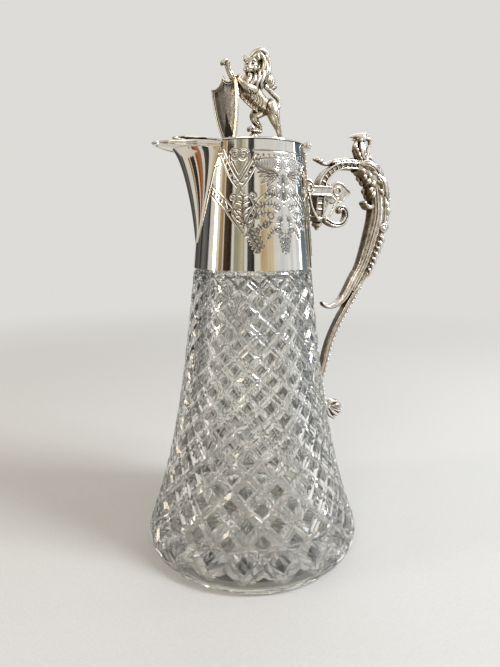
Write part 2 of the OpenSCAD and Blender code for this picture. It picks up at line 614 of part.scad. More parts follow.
// The plain band that the arch is cut from
module arch_band() {
  swept_form([for (p = arch_line) [p[0], p[1]]], [for (p = arch_line)
    [for (q = [[1, 1], [-1, 1], [-1, -1], [1, -1]]) [q[0] * p[2] / 2, q[1] * arch_w / 2]]]);
}

// A boxed band with a raised rail along each edge and ribs across its sunk sides
module handle_arch() {
  line = arch_line;
  edge = arch_w / 2;
  // Half of the section, from the outer face of the band to the inner one
  half = [[1, edge - 0.5], [0.86, edge], [0.56, edge], [0.48, edge - 0.9], [-0.48, edge - 0.9], [-0.56, edge], [-0.86, edge],
    [-1, edge - 0.5]];
  section = concat(half, [for (i = [len(half) - 1:-1:0]) [half[i][0], -half[i][1]]]);
  color("silver") difference() {
    union() {
      swept_form([for (p = line) [p[0], p[1]]], [for (p = line) [for (q = section) [q[0] * p[2] / 2, q[1]]]]);
      for (i = [2:14]) let (p = line[i], q = line[i + 1], a = atan2(q[1] - p[1], q[0] - p[0]))
        translate([p[0], 0, p[1]]) rotate([0, -a, 0]) hull() for (s = [-1, 1]) translate([0, 0, s * (p[2] / 2 - 0.9)])
          rotate([90, 0, 0]) cylinder(h = arch_w - 0.7, r = 0.5, center = true, $fn = 6);
    }
    // Flat seat on the boss, and the end that meets the grip
    translate([boss_x - 10, -10, boss_z + boss_top - 10]) cube([20, 20, 10]);
    swept_bar(smooth(grip_path, 3), 10, 0.8);
  }
}

module leaf_tongue() {
  color("silver") difference() {
    swept_bar(smooth(tongue_path, 3), 8, 0.85);
    arch_band();
    swept_bar(smooth(grip_path, 3), 10, 0.8);
  }
}

module thumb_bird() {
  color("silver") difference() {
    translate([0, 0, lift]) union() {
      // Head and beak
      limb([70.6, 0, 243.2, 3.1], [66.4, 0, 243, 2.1]);
      limb([66.4, 0, 243.2, 1.8], [61.6, 0, 242.8, 0.35]);
      limb([70.6, 0, 244.4, 2.3], [73.2, 0, 245, 1.2]);
      // Crest, and the loop behind the neck
      limb([73, 0, 243.2, 1.9], [77.4, 0, 242.2, 1.2]);
      limb([77.4, 0, 242.2, 1.2], [76.9, 0, 237.2, 1], 8);
      limb([76.9, 0, 237.2, 1], [74.8, 0, 231.8, 1.6], 8);
      // Neck, breast and folded wings
      limb([70.4, 0, 242.6, 2.9], [71, 0, 236.4, 2.5]);
      limb([71, 0, 236.4, 2.5], [72.4, 0, 229, 4]);
      limb([66.2, 0, 239.2, 2.4], [68.4, 0, 234, 3]);
      limb([68.4, 0, 234, 3], [71, 0, 229.6, 3.2]);
      for (s = [-1, 1]) limb([68.4, s * 2.4, 239, 1.6], [71.6, s * 2.8, 231.4, 1.8], 8);
    }
    swept_bar(smooth(grip_path, 3), 10, 0.8);
    leaf_tongue_form();
  }
}

module leaf_tongue_form() { swept_bar(smooth(tongue_path, 3), 8, 0.85); }

module handle_scroll() {
  color("silver") union() {
    swept_bar(smooth(grip_path, 3), 10, 0.8);
    // Thorn, bulb and leaf lobes along the back of the grip
    translate([0, 0, lift]) limb([87.4 + out, 0, 208.8, 2.4], [91.4 + out, 0, 210.8, 0.5], 8);
    for (s = [-1, 1]) translate([0, 0, lift]) {
      limb([87.2 + out, s * 2.6, 205.4, 2.6], [87.9 + out, s * 2.6, 199.8, 2.8], 8);
      translate([86.8 + out, s * 3.2, 193.4]) rotate([90, 0, 0]) cylinder(h = 4.6, r = 3.7, center = true, $fn = 12);
      for (p = [[86.8, 186.6, 2.3], [85.4, 181, 2.2], [83.8, 175.6, 2.1], [81.8, 170.4, 2], [79.6, 165.4, 1.8]])
        limb([p[0] + out * 0.8, s * 2.2, p[1] + 1, p[2]], [p[0] - 2.4 + out * 0.8, s * 3.4, p[1] - 1.6, p[2] * 0.7], 8);
    }
  }
}

module inner_scroll() {
  color("silver") difference() {
    swept_bar(smooth(inner_path, 3), 8, 0.85);
    swept_bar(smooth(grip_path, 3), 10, 0.8);
  }
}

module bracket_scroll() {
  color("silver") difference() {
    swept_bar(smooth(scroll_path, 3), 8, 0.8);
    translate([boss_x, 0, boss_z - 5]) cylinder(h = 10, r = boss_r + 0.02);
  }
}

module tail_curl() { color("silver") swept_bar(smooth(curl_path, 3), 8, 0.8); }

module beaded_strap() {
  last = len(strap_line) - 1;
  bead_line = smooth(concat(strap_free, strap_rest), 10);
  picks = [for (i = [0:2 * strap_beads]) round(i * (len(bead_line) - 1) / (2 * strap_beads))];
  color("silver") union() {
    swept_bar([for (i = [0:last]) concat(strap_line[i], [strap_t - 0.6, strap_w])], 8, 0.55);
    // A row of beads down each edge of the back, drawn as a rippled bar
    for (side = [-1, 1])
      swept_bar([for (i = [0:len(picks) - 1]) let (p = bead_line[picks[i]], a = bead_line[max(0, picks[i] - 1)],
          b = bead_line[min(len(bead_line) - 1, picks[i] + 1)], way = unit(b - a), fat = i % 2 == 1 ? 2.1 : 0.9)
        [p[0] - way[1] * (strap_t / 2 - 0.9), p[1] + way[0] * (strap_t / 2 - 0.9), fat, fat]], 6, 1,
        side * (strap_w / 2 - 0.7));
  }
}

module lower_leaf() {
  color("silver") translate([glass_r(strap_foot) + strap_t / 2 + 0.35, 2.2, strap_foot]) rotate([90, 0, 0])
    linear_extrude(height = 4.4) polygon([[-1.2, -0.2], [2, -0.2], [5.2, -2.4], [8, -1.6], [11, -2.8], [13, -5.2],
      [16.6, -8], [12.8, -10], [11.6, -12.8], [9.2, -14.2], [7.2, -12.6], [6, -9.6], [3, -7.6], [0.6, -4.6]]);
}

// ---- Lid ----

tongue_root = collar_top_r - 7;

module lid_plate() {
  color("silver") difference() {
    translate([0, 0, lid_z]) union() {
      cylinder(h = lid_t, r = lid_r, $fn = 96);
      translate([-tongue_root, 0, lid_t]) rotate([0, tongue_tilt, 0]) translate([tongue_root, 0, 0.3 - lid_t])
        linear_extrude(height = lid_t - 0.3) polygon(concat(arch_plan(tongue_reach, tongue_half_w, tongue_root),
          [[3 - tongue_root, -tongue_half_w], [3 - tongue_root, tongue_half_w]]));
    }
    stud_places() cylinder(h = 20, r = stud_r + 0.1, center = true);
  }
}

module lid_bezel() {
  outer = collar_top_r - sheet - wire_t - bezel_gap;
  color("silver") translate([0, 0, lid_z - bezel_h]) difference() {
    cylinder(h = bezel_h, r = outer);
    translate([0, 0, -1]) cylinder(h = bezel_h + 2, r = outer - bezel_t);
  }
}

// ---- Finial: lion, ball, shield and their fixings ----

near_foot = [15.4, -3.6];
far_foot = [3.8, 4];
ball_up = paw_ball_r + 2.2;

module lion_frame() { rotate([0, 0, lion_turn]) translate([0, 0, lid_top_z]) children(); }

module stud_places() {
  lion_frame() for (p = [near_foot, far_foot]) translate([p[0], p[1], 0]) children();
}

// A limb through a run of balls
module limb_run(balls, sides = 10) {
  for (i = [0:len(balls) - 2]) limb(balls[i], balls[i + 1], sides);
}

module lion() {
  color("silver") lion_frame() difference() {
    union() {
      // Chest, waist and rump
      limb_run([[-2.6, 0, 28, 5.8], [3.4, 0, 23.6, 4.5], [10.4, 0, 21.4, 4]], 12);
      // Mane: breast, back of the neck and the high crest behind the head
      limb_run([[-2.4, -0.4, 30.4, 5.4], [1.8, 0, 37, 5.4], [3.6, 0, 44, 4.4]], 12);
      limb_run([[5.6, 0, 43.6, 3.4], [5.6, 0, 36.4, 3.4], [2.6, 0, 30.6, 3.6]]);
      // Head, muzzle, brow, jaw and ears
      limb([-1.2, -0.6, 39.8, 4.2], [-2.8, -1.2, 38, 3.8], 12);
      limb([-4, -2, 37, 2.5], [-5.2, -2.6, 36.4, 1.9]);
      limb([-3.2, -1.4, 35, 1.9], [-4.2, -2, 34.4, 1.4], 8);
      limb([-4, -4, 41.2, 1.2], [-5.2, 0.6, 41.4, 1.2], 8);
      for (y = [-4.4, 2.8]) limb([-0.8, y, 42.6, 1.3], [-1.2, y, 43.6, 0.9], 8);
      // Locks of the mane
      for (p = [[0.6, -4.8, 41.6], [3.4, -4.4, 38], [1.4, -5, 34.4], [-3.4, -4.6, 31.6], [4.4, -3.8, 45], [5.8, -3.4, 33.4]])
        limb([p[0], p[1], p[2], 1.7], [p[0] + 1, p[1] + 0.6, p[2] - 3.2, 1.1], 8);
      // Foreleg that holds the shield, and the raised one
      limb_run([[-2.6, -3.6, 27.6, 3], [-7.4, -3.8, 28.6, 2], [-9.6, -1.4, 31.4, 1.6]]);
      limb_run([[-3, 3.6, 29.2, 3], [-8.8, 3.6, 32.4, 2.1], [-11.8, 4, 35.8, 1.7], [-13.8, 4.2, 40.2, 1.4]]);
      limb([-14.2, 4.2, 40.8, 1.6], [-16.4, 4.2, 40, 1.2]);
      // Near hind leg, straight back
      limb_run([[10.8, -2.6, 20.4, 3.9], [12.6, -3.6, 14.8, 2.9], [16.4, -3.6, 7.4, 1.5], [15.8, -3.6, 1.4, 1.4]]);
      limb([16.2, -3.6, 1.7, 1.6], [12.8, -3.7, 1.5, 1.3], 8);
      // Far hind leg, bent, with the paw on the ball
      limb_run([[8.6, 2.8, 20.6, 3.8], [3, 3.8, 16.8, 2.5], [8.2, 4, 11.6, 1.8], [7.8, 4, 9, 1.8]]);
      limb([7.6, 4, 9, 1.8], [2, 4, ball_up + paw_ball_r + 1.2, 2]);
      // Tail and its tuft
      limb_run([[13.4, 0, 20.6, 1.6], [18.6, 0, 22.8, 1.3], [18.6, 0, 25.8, 1.2], [13.2, 0, 28.8, 1.2], [7, 0, 31.6, 1.3]], 8);
      limb_run([[8.4, 0, 32.6, 1.5], [11.6, 0, 34.8, 2.7], [14.2, 0, 31.8, 1.4]], 8);
    }
    translate([far_foot[0], far_foot[1], ball_up]) sphere(r = paw_ball_r + seam);
    translate([-30, -30, -20]) cube([60, 60, 20]);
  }
}

// Ball on a small turned foot
module paw_ball() {
  color("silver") lion_frame() translate([far_foot[0], far_foot[1], 0]) union() {
    cylinder(h = 1, r = paw_ball_r * 0.95);
    cylinder(h = 3, r = paw_ball_r * 0.62);
    translate([0, 0, ball_up]) sphere(r = paw_ball_r);
  }
}

module finial_studs() {
  color("silver") stud_places() translate([0, 0, -lid_t - stud_l]) cylinder(h = lid_t + stud_l, r = stud_r);
}

module stud_washers() {
  color("silver") stud_places() translate([0, 0, -lid_t - washer_t]) difference() {
    cylinder(h = washer_t, r = washer_r);
    translate([0, 0, -1]) cylinder(h = washer_t + 2, r = stud_r + 0.1);
  }
}

module stud_nuts() {
  color("goldenrod") stud_places() translate([0, 0, -lid_t - washer_t - nut_t]) difference() {
    cylinder(h = nut_t, d = nut_d, $fn = 6);
    translate([0, 0, -1]) cylinder(h = nut_t + 2, r = stud_r);
  }
}

// Long shield with two hollows along its top, its point at the origin
module shield_outline() {
  half = shield_w / 2;
  drop = 3.6;
  sag = 2.7;
  top_chord = norm([half, drop]);
  hollow_r = (pow(top_chord / 2, 2) + sag * sag) / (2 * sag);
  side_r = (pow(half, 2) + pow(shield_h - drop, 2)) / (2 * half) * 1.12;
  difference() {
    intersection() {
      translate([-half, 0]) square([shield_w, shield_h]);
      translate([half - side_r, shield_h - drop - 4]) circle(r = side_r, $fn = 180);
      translate([side_r - half, shield_h - drop - 4]) circle(r = side_r, $fn = 180);
    }
    for (s = [-1, 1]) {
      centre = [s * half / 2, shield_h - drop / 2] + [s * drop, half] / top_chord * (hollow_r - sag);
      translate(centre) circle(r = hollow_r);
      translate([s > 0 ? 0 : -half - 1, shield_h]) square([half + 1, 5]);
    }
  }
}

module shield_place() {
  translate([-13.6, 0.5, lid_top_z]) rotate([0, 0, shield_turn]) rotate([-shield_lean, 0, 0])
    translate([shield_t, 0, 0]) rotate([0, 0, -90]) rotate([90, 0, 0]) children();
}

module shield() {
  inner_scale = 1 - 2 * shield_border / shield_w;
  color("silver") difference() {
    union() {
      shield_place() difference() {
        linear_extrude(height = shield_t) shield_outline();
        translate([0, shield_border * 1.6, shield_t - 0.5]) linear_extrude(height = 1) scale(inner_scale) shield_outline();
      }
      translate([-13, 0.5, lid_top_z]) cylinder(h = 4, r = 1.1);
    }
    translate([-30, -30, lid_top_z - 20]) cube([60, 60, 20]);
  }
}

glass_body();
plaster_ring();
collar();
mouth_wire();
spout();
spout_rim();
back_strap();
collar_hinge();
hinge_pin();
bracket_plate_near();
bracket_plate_far();
bracket_boss();
bracket_rivets();
pendant_drop();
bracket_scroll();
handle_arch();
leaf_tongue();
thumb_bird();
handle_scroll();
inner_scroll();
tail_curl();
beaded_strap();
lower_leaf();
lid_plate();
lid_bezel();
lid_hinge_leaf();
lion();
paw_ball();
shield();
finial_studs();
stud_washers();
stud_nuts();
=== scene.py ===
import math

import bmesh
import bpy
import numpy as np
from mathutils import Matrix, Vector


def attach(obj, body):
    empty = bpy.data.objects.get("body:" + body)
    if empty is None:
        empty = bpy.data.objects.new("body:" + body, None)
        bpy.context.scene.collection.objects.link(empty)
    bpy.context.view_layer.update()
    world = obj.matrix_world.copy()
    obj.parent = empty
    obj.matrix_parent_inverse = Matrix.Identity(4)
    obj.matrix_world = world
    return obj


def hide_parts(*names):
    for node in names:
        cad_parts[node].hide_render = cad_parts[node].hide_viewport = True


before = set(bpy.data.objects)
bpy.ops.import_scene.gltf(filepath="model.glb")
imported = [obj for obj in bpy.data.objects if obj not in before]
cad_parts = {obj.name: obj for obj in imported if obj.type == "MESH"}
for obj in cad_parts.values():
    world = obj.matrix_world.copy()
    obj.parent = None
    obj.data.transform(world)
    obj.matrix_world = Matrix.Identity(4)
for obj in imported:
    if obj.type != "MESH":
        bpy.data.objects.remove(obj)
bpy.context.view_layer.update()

scene = bpy.context.scene
mm = 0.001


# Small tools
def hexColour(text):  # sRGB hex to linear, with alpha 1
    parts = [int(text[i:i + 2], 16) / 255 for i in (1, 3, 5)]
    return tuple(c / 12.92 if c <= 0.04045 else ((c + 0.055) / 1.055) ** 2.4 for c in parts) + (1.0,)


def addNode(tree, kind, settings=None, links=None):
    node = tree.nodes.new(kind)
    for key, value in (settings or {}).items():
        if key in node.inputs:
            node.inputs[key].default_value = value
        else:
            setattr(node, key, value)
    for key, source in (links or {}).items():
        tree.links.new(source, node.inputs[key])
    return node


def newMaterial(name, metal=0):
    material = bpy.data.materials.new(name)
    material.use_nodes = True
    tree = material.node_tree
    shader = tree.nodes["Principled BSDF"]
    shader.inputs["Metallic"].default_value = metal
    return material, tree, shader, addNode(tree, "ShaderNodeTexCoord").outputs["Object"]


def feed(tree, node, links):
    for key, source in links.items():
        tree.links.new(source, node.inputs[key])


def noise(tree, place, scale, detail=2.0):
    return addNode(tree, "ShaderNodeTexNoise", {"Scale": scale, "Detail": detail}, {"Vector": place}).outputs["Fac"]


def mapped(tree, value, start=0.0, end=1.0, low=0.0, high=1.0):
    return addNode(tree, "ShaderNodeMapRange", {"From Min": start, "From Max": end, "To Min": low, "To Max": high},
                   {"Value": value}).outputs["Result"]


def combined(tree, operation, first, second, clamp=False):
    return addNode(tree, "ShaderNodeMath", {"operation": operation, "use_clamp": clamp},
                   {0: first, 1: second}).outputs["Value"]


def bumped(tree, height, strength, distance):
    return addNode(tree, "ShaderNodeBump", {"Strength": strength, "Distance": distance},
                   {"Height": height}).outputs["Normal"]


def colourRamp(tree, source, stops):
    ramp = addNode(tree, "ShaderNodeValToRGB", links={"Fac": source})
    bands = ramp.color_ramp.elements
    while len(bands) < len(stops):
        bands.new(0.5)
    for band, (position, colour) in zip(bands, stops):
        band.position = position
        band.color = hexColour(colour)
    return ramp.outputs["Color"]


def newObject(name, mesh, material=None):
    if material:
        mesh.materials.append(material)
    thing = bpy.data.objects.new(name, mesh)
    scene.collection.objects.link(thing)
    return thing


def finishPiece(piece, body, node):
    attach(piece, body)
    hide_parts(node)


def makePiece(name, points, faces, material, body, node):
    # points in mm, faces as lists of point numbers
    mesh = bpy.data.meshes.new(name)
    mesh.from_pydata((np.asarray(points, float) * mm).tolist(), [], [list(map(int, f)) for f in faces])
    mesh.validate()
    piece = newObject(name, mesh, material)
    mesh.polygons.foreach_set("use_smooth", [True] * len(mesh.polygons))
    finishPiece(piece, body, node)
    return piece


def gridFaces(rows, columns, start=0, closed=True):
    # quads between rows of points; closed joins the last column to the first
    r = np.arange(rows - 1)[:, None]
    c = np.arange(columns if closed else columns - 1)[None, :]
    d = (c + 1) % columns
    a, b = r * columns + c, r * columns + d
    return (np.stack([a, b, b + columns, a + columns], -1).reshape(-1, 4) + start).tolist()


def zipLoops(loopA, loopB):
    # triangles between two closed runs of points that hold different counts
    faces, i, j, na, nb = [], 0, 0, len(loopA), len(loopB)
    while i < na or j < nb:
        if j >= nb or (i < na and (i + 1) / na <= (j + 1) / nb):
            faces.append([loopA[i], loopA[(i + 1) % na], loopB[j % nb]])
            i += 1
        else:
            faces.append([loopA[i % na], loopB[(j + 1) % nb], loopB[j]])
            j += 1
    return faces


def smoothStep(low, high, value):
    t = np.clip((value - low) / (high - low), 0, 1)
    return t * t * (3 - 2 * t)


def crispEdges(piece, angle, recalculate=False):
    # smooth shading broken at edges sharper than angle
    piece.data.polygons.foreach_set("use_smooth", [True] * len(piece.data.polygons))
    bm = bmesh.new()
    bm.from_mesh(piece.data)
    if recalculate:
        bmesh.ops.recalc_face_normals(bm, faces=bm.faces)
    for edge in bm.edges:
        edge.smooth = len(edge.link_faces) == 2 and edge.calc_face_angle(0) < math.radians(angle)
    bm.to_mesh(piece.data)
    bm.free()


def inwardSides(outline):
    # direction to the left of the way round at each point of a closed outline
    way = np.roll(outline, -1, 0) - np.roll(outline, 1, 0)
    way /= np.linalg.norm(way, axis=1)[:, None]
    return np.stack([-way[:, 1], way[:, 0]], 1)


# Sizes that several pieces share, in mm
jug = {"glassHeight": 168, "baseRadius": 65.5, "baseHeight": 8, "waistRadius": 34, "flare": 13, "flarePower": 3.2,
       "mouth": 233.0, "collarHeight": 65.2, "collarLow": 34.4, "collarTop": 28.1, "sheet": 1.0, "lidTop": 234.5,
       "spoutDrop": 52}


def glassRadius(z):
    u = np.clip(1 - (np.asarray(z, float) - jug["baseHeight"]) / (jug["glassHeight"] - jug["baseHeight"]), 0, 1)
    straight = jug["baseRadius"] - jug["waistRadius"] - jug["flare"]
    return jug["waistRadius"] + straight * u + jug["flare"] * u ** jug["flarePower"]


def collarRadius(z):
    slope = (jug["collarLow"] - jug["collarTop"]) / jug["collarHeight"]
    return jug["collarTop"] + slope * (jug["mouth"] - np.asarray(z, float))


# Camera, fitted to the ellipses of the base, the collar and the mouth
view = {"focal": 475 / 667 * 36, "place": (-0.10034, -0.26140, 0.1873), "down": 12.01, "heading": 69.3}
cameraData = bpy.data.cameras.new("camera")
cameraData.sensor_width = 36
cameraData.lens = view["focal"]
cameraData.clip_start = 0.01
camera = bpy.data.objects.new("camera", cameraData)
camera.location = view["place"]
camera.rotation_euler = (math.radians(90 - view["down"]), 0, math.radians(view["heading"] - 90))
scene.collection.objects.link(camera)
scene.camera = camera
scene.view_settings.view_transform = "Standard"
print("camera set")


# Bright electroplated silver, machine polished and then wiped: near-mirror with faint hairlines and a warm cast
def polishedPlate(name, dull="#E2DDD2", bright="#EFEBE3", roughness=0.07):
    material, tree, shader, place = newMaterial(name, 1)
    haze = noise(tree, place, 45.0, 4.0)  # 20 mm wipe marks
    stretch = addNode(tree, "ShaderNodeMapping", {"Scale": (1.0, 1.0, 14.0)}, {"Vector": place})
    hairlines = noise(tree, stretch.outputs["Vector"], 260.0)  # 4 mm apart, drawn out round the axis
    feed(tree, shader, {"Base Color": colourRamp(tree, haze, [(0.3, dull), (0.7, bright)]),
                        "Roughness": mapped(tree, haze, 0.3, 0.75, roughness * 0.7, roughness * 1.6),
                        "Normal": bumped(tree, hairlines, 0.015, 0.0002)})
    return material


# Cast silver plate, polished on its high places and left oxidised in the hollows: dark lines between bright forms; over
# that, painted light and shade by the way each face turns towards reach
# reach is the direction the painted light comes from
def castPlate(name, high="#F1ECE3", middle="#816C50", low="#1E1A16", roughness=0.13, grain=0.35, reach=(0.62, 0, 0.78)):
    material, tree, shader, place = newMaterial(name, 1)
    shape = addNode(tree, "ShaderNodeNewGeometry")
    hollow = addNode(tree, "ShaderNodeAmbientOcclusion", {"samples": 6, "Distance": 0.0034}).outputs["AO"]
    proud = combined(tree, "MULTIPLY", mapped(tree, hollow, 0.25, 0.82),
                     mapped(tree, shape.outputs["Pointiness"], 0.42, 0.52))
    wear = mapped(tree, noise(tree, place, 420.0, 3.0), 0.25, 0.8, 0.7, 1.15)  # 2.4 mm tarnish
    # painted light and shade: faces turned towards reach keep the bright tone, undersides and inner faces are painted
    # warm and dull as shade; the tarnish spots of wear are multiplied in
    litFacing = addNode(tree, "ShaderNodeVectorMath", {"operation": "DOT_PRODUCT"}, {0: shape.outputs["Normal"]})
    litFacing.inputs[1].default_value = reach
    wearAndPaintedShade = combined(tree, "MULTIPLY", wear, mapped(tree, litFacing.outputs["Value"], -0.85, 0.2, 0.42, 1.0))
    # polish carries the oxidised hollows, the tarnish spots and the painted shade
    polish = combined(tree, "MULTIPLY", proud, wearAndPaintedShade, True)
    feed(tree, shader, {"Base Color": colourRamp(tree, polish, [(0.05, low), (0.42, middle), (0.78, high)]),
                        "Roughness": mapped(tree, polish, low=0.55, high=roughness),
                        "Normal": bumped(tree, noise(tree, place, 900.0), grain, 0.00012)})  # 1 mm casting skin
    return material


# Lead crystal, wheel cut and acid polished: flats tinted grey as painted shade, standing in for a dark background seen
# through them, between whiter cuts with a soft satin edge, whose white is partly the satin grind and partly painted
# highlight
def crystal(name, flat="#AFB3B1", wall="#FFFEFA", satin=0.07, frostAndHighlight=0.12):
    material, tree, shader, place = newMaterial(name)
    shader.inputs["IOR"].default_value = 1.55
    cut = addNode(tree, "ShaderNodeAttribute", {"attribute_name": "cut"}).outputs["Fac"]  # 0 flat, 0.5 blown, 1 cut
    ground = mapped(tree, cut, 0.5, 1.0)
    wheelMarks = mapped(tree, noise(tree, place, 350.0), low=satin * 0.6, high=satin * 1.4)  # 3 mm long
    # painted shade: the flat colour greys the clear flats; painted highlight on top of the satin grind: the wall
    # colour, where transmission is taken away, whitens the cuts
    feed(tree, shader, {"Base Color": colourRamp(tree, cut, [(0.05, flat), (0.45, wall)]),
                        "Transmission Weight": mapped(tree, ground, low=1.0, high=1 - frostAndHighlight),
                        "Roughness": combined(tree, "MULTIPLY", ground, wheelMarks)})
    return material


# Set plaster, poured: dull white with fine pits
def setPlaster(name):
    material, tree, shader, place = newMaterial(name)
    pits = noise(tree, place, 700.0, 5.0)
    feed(tree, shader, {"Base Color": colourRamp(tree, pits, [(0.3, "#CFC8B8"), (0.7, "#E7E2D6")]),
                        "Normal": bumped(tree, pits, 0.5, 0.0003)})
    shader.inputs["Roughness"].default_value = 0.9
    return material


# Turned brass, left unpolished: soft yellow with lathe rings
def turnedBrass(name):
    material, tree, shader, place = newMaterial(name, 1)
    rings = noise(tree, place, 500.0)
    feed(tree, shader, {"Base Color": colourRamp(tree, rings, [(0.3, "#A8843F"), (0.7, "#CDAA62")])})
    shader.inputs["Roughness"].default_value = 0.3
    return material


brightPlate = polishedPlate("electroplated silver, polished")
# painted light on the handle castings comes from the handle's outer side and from above
castSilver = castPlate("cast silver plate, oxidised hollows")
# the finial's painted light comes from the camera's side and from above; its faces turned away are painted in shade
finialSilver = castPlate("cast silver plate, old and little rubbed", "#D5CCBA", "#75664F", "#241F1A", 0.2, 0.4,
                         (-0.25, -0.3, 0.92))
# the satin field's painted light comes from straight above; its undersides are painted in shade
satinPlate = castPlate("silver plate, satin brushed", "#8E8A84", "#5E5B57", "#2E2C2A", 0.3, 0.2, (0, 0, 1))
cutCrystal = crystal("lead crystal, wheel cut")
plasterWhite = setPlaster("set plaster, poured")
brassTurned = turnedBrass("turned brass")

nodeFinish = {"plaster_ring": plasterWhite, "stud_nuts": brassTurned}
polishedNodes = ["collar", "mouth_wire", "spout", "spout_rim", "lid_plate", "lid_bezel", "hinge_pin", "paw_ball",
                 "finial_studs", "stud_washers", "collar_hinge", "lid_hinge_leaf"]
for nodeName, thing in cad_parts.items():
    finish = nodeFinish.get(nodeName) or (cutCrystal if nodeName == "glass_body" else
                                          brightPlate if nodeName in polishedNodes else castSilver)
    thing.data.materials.clear()
    thing.data.materials.append(finish)
print("materials made")


# Cut glass; half widths are degrees along the lines of the cuts, the rest is mm
glass = {"repeats": 10, "phase": (20.5, 9.5), "lowEnd": 6.2, "highEnd": 165.5, "broadHalf": 4.1, "broadDepth": 1.75,
         "narrowHalf": 2.5, "narrowDepth": 1.15, "ridge": 0.15, "wall": 6, "floor": 12, "footRadius": 62.8,
         "footWidth": 9,
         "recess": 1.6, "starRays": 24, "starDepth": 1.7, "neckRadius": 30.6, "neckBore": 26.6, "neckTop": 178}


def cutGlass():
    # The cuts climb at 45 degrees both ways round, so turn = integral of dz / radius. Points lie on the lines
    # u = azimuth + turn and v = azimuth - turn, which are the edges and bottoms of the cuts. Widths are angles along
    # u or v, because the wheel follows the body as it widens.
    zs = np.linspace(glass["lowEnd"], glass["highEnd"], 1200)
    turns = np.concatenate([[0], np.cumsum(np.diff(zs) / glassRadius((zs[1:] + zs[:-1]) / 2))])
    total = turns[-1]
    azimuthShift, turnShift = np.radians(glass["phase"])
    period = 2 * math.pi / glass["repeats"]
    broadHalf, narrowHalf, ridge = np.radians([glass["broadHalf"], glass["narrowHalf"], glass["ridge"]])
    pairs = [side * (narrowHalf + ridge) for side in (-1, 1)]
    # edges, shoulders and bottoms of one repeat: a broad cut, then a pair of narrow ones
    steps = [offset * broadHalf for offset in (-1, -0.5, 0, 0.5, 1)]
    steps += [period / 2 + centre + offset * narrowHalf for centre in pairs for offset in (-1, 0, 1)]
    marks = np.array(sorted({round((k * period + step) % (2 * math.pi), 9) for k in range(glass["repeats"])
                             for step in steps}))

    def cutDepth(angle):
        a = (angle + period / 2) % period - period / 2
        broad = 1 - np.abs(a) / broadHalf
        best = np.where(broad > 0, np.abs(broad) ** 0.92, broad) * glass["broadDepth"]
        for centre in pairs:
            b = (angle - period / 2 - centre + period / 2) % period - period / 2
            best = np.maximum(best, (1 - np.abs(b) / narrowHalf) * glass["narrowDepth"])
        return np.maximum(best, 0)

    def surface(azimuth, turn):
        # azimuth and turn are counted from a crossing of two broad cuts
        z = np.interp(turn + turnShift, turns, zs)
        radius = glassRadius(z)
        scale = np.minimum(radius / 50, 1.25) ** 0.8
        fade = smoothStep(glass["lowEnd"], glass["lowEnd"] + 5.5,
                          z) * (1 - smoothStep(glass["highEnd"] - 2.5, glass["highEnd"], z) * 0.6)
        deep = np.maximum(cutDepth(azimuth + turn), cutDepth(azimuth - turn)) * scale
        run = np.maximum(deep - (1 - fade) * 2.2 * scale, 0)  # cuts end in points where they run out
        r = radius - run
        a = azimuth + azimuthShift
        return np.stack([r * np.cos(a), r * np.sin(a), z], -1), run

    count = len(marks)
    # v = marks; u = v + 2 * turn, so the steps of u above v give the turn
    fullTurns = int(math.ceil(total / math.pi)) + 2
    uAll = np.concatenate([marks + 2 * math.pi * k for k in range(-2, fullTurns + 1)])
    points, index, faces = [], {}, []

    def pointAt(vi, uk):
        # vi may run past count: that is the same point a full turn on
        wrap, v0 = divmod(vi, count)
        u0 = uk - wrap * count
        key = (v0, u0)
        if key in index:
            return index[key]
        turn = (uAll[u0] - marks[v0]) / 2
        azimuth = (uAll[u0] + marks[v0]) / 2
        index[key] = len(points)
        points.append((azimuth, min(max(turn, -turnShift), total - turnShift)))
        return index[key]

    for vi in range(count):
        for uk in range(count if vi + 1 == count else 0, len(uAll) - 1):
            v1 = marks[vi + 1] if vi + 1 < count else marks[0] + 2 * math.pi
            most = (uAll[uk + 1] - marks[vi]) / 2
            least = (uAll[uk] - v1) / 2
            if most <= 1e-9 - turnShift or least >= total - turnShift - 1e-9:
                continue
            corners = [pointAt(vi, uk), pointAt(vi + 1, uk), pointAt(vi + 1, uk + 1), pointAt(vi, uk + 1)]
            faces.append(corners)
    raw = np.array(points)
    place, run = surface(raw[:, 0], raw[:, 1])
    # choose the diagonal of each quad that follows the crease between crossing cuts
    out = []
    for q in faces:
        if len({tuple(np.round(place[i], 5)) for i in q}) < 3:
            continue
        mid = raw[q].mean(0)
        if raw[q, 1].min() <= -turnShift or raw[q, 1].max() >= total - turnShift:
            out += [[q[0], q[1], q[2]], [q[0], q[2], q[3]]]
            continue
        _, want = surface(np.array([mid[0]]), np.array([mid[1]]))
        first = abs((run[q[0]] + run[q[2]]) / 2 - want[0])
        second = abs((run[q[1]] + run[q[3]]) / 2 - want[0])
        out += [[q[0], q[1], q[2]], [q[0], q[2], q[3]]] if first <= second else [[q[1], q[2], q[3]], [q[1], q[3], q[0]]]
    return place, out


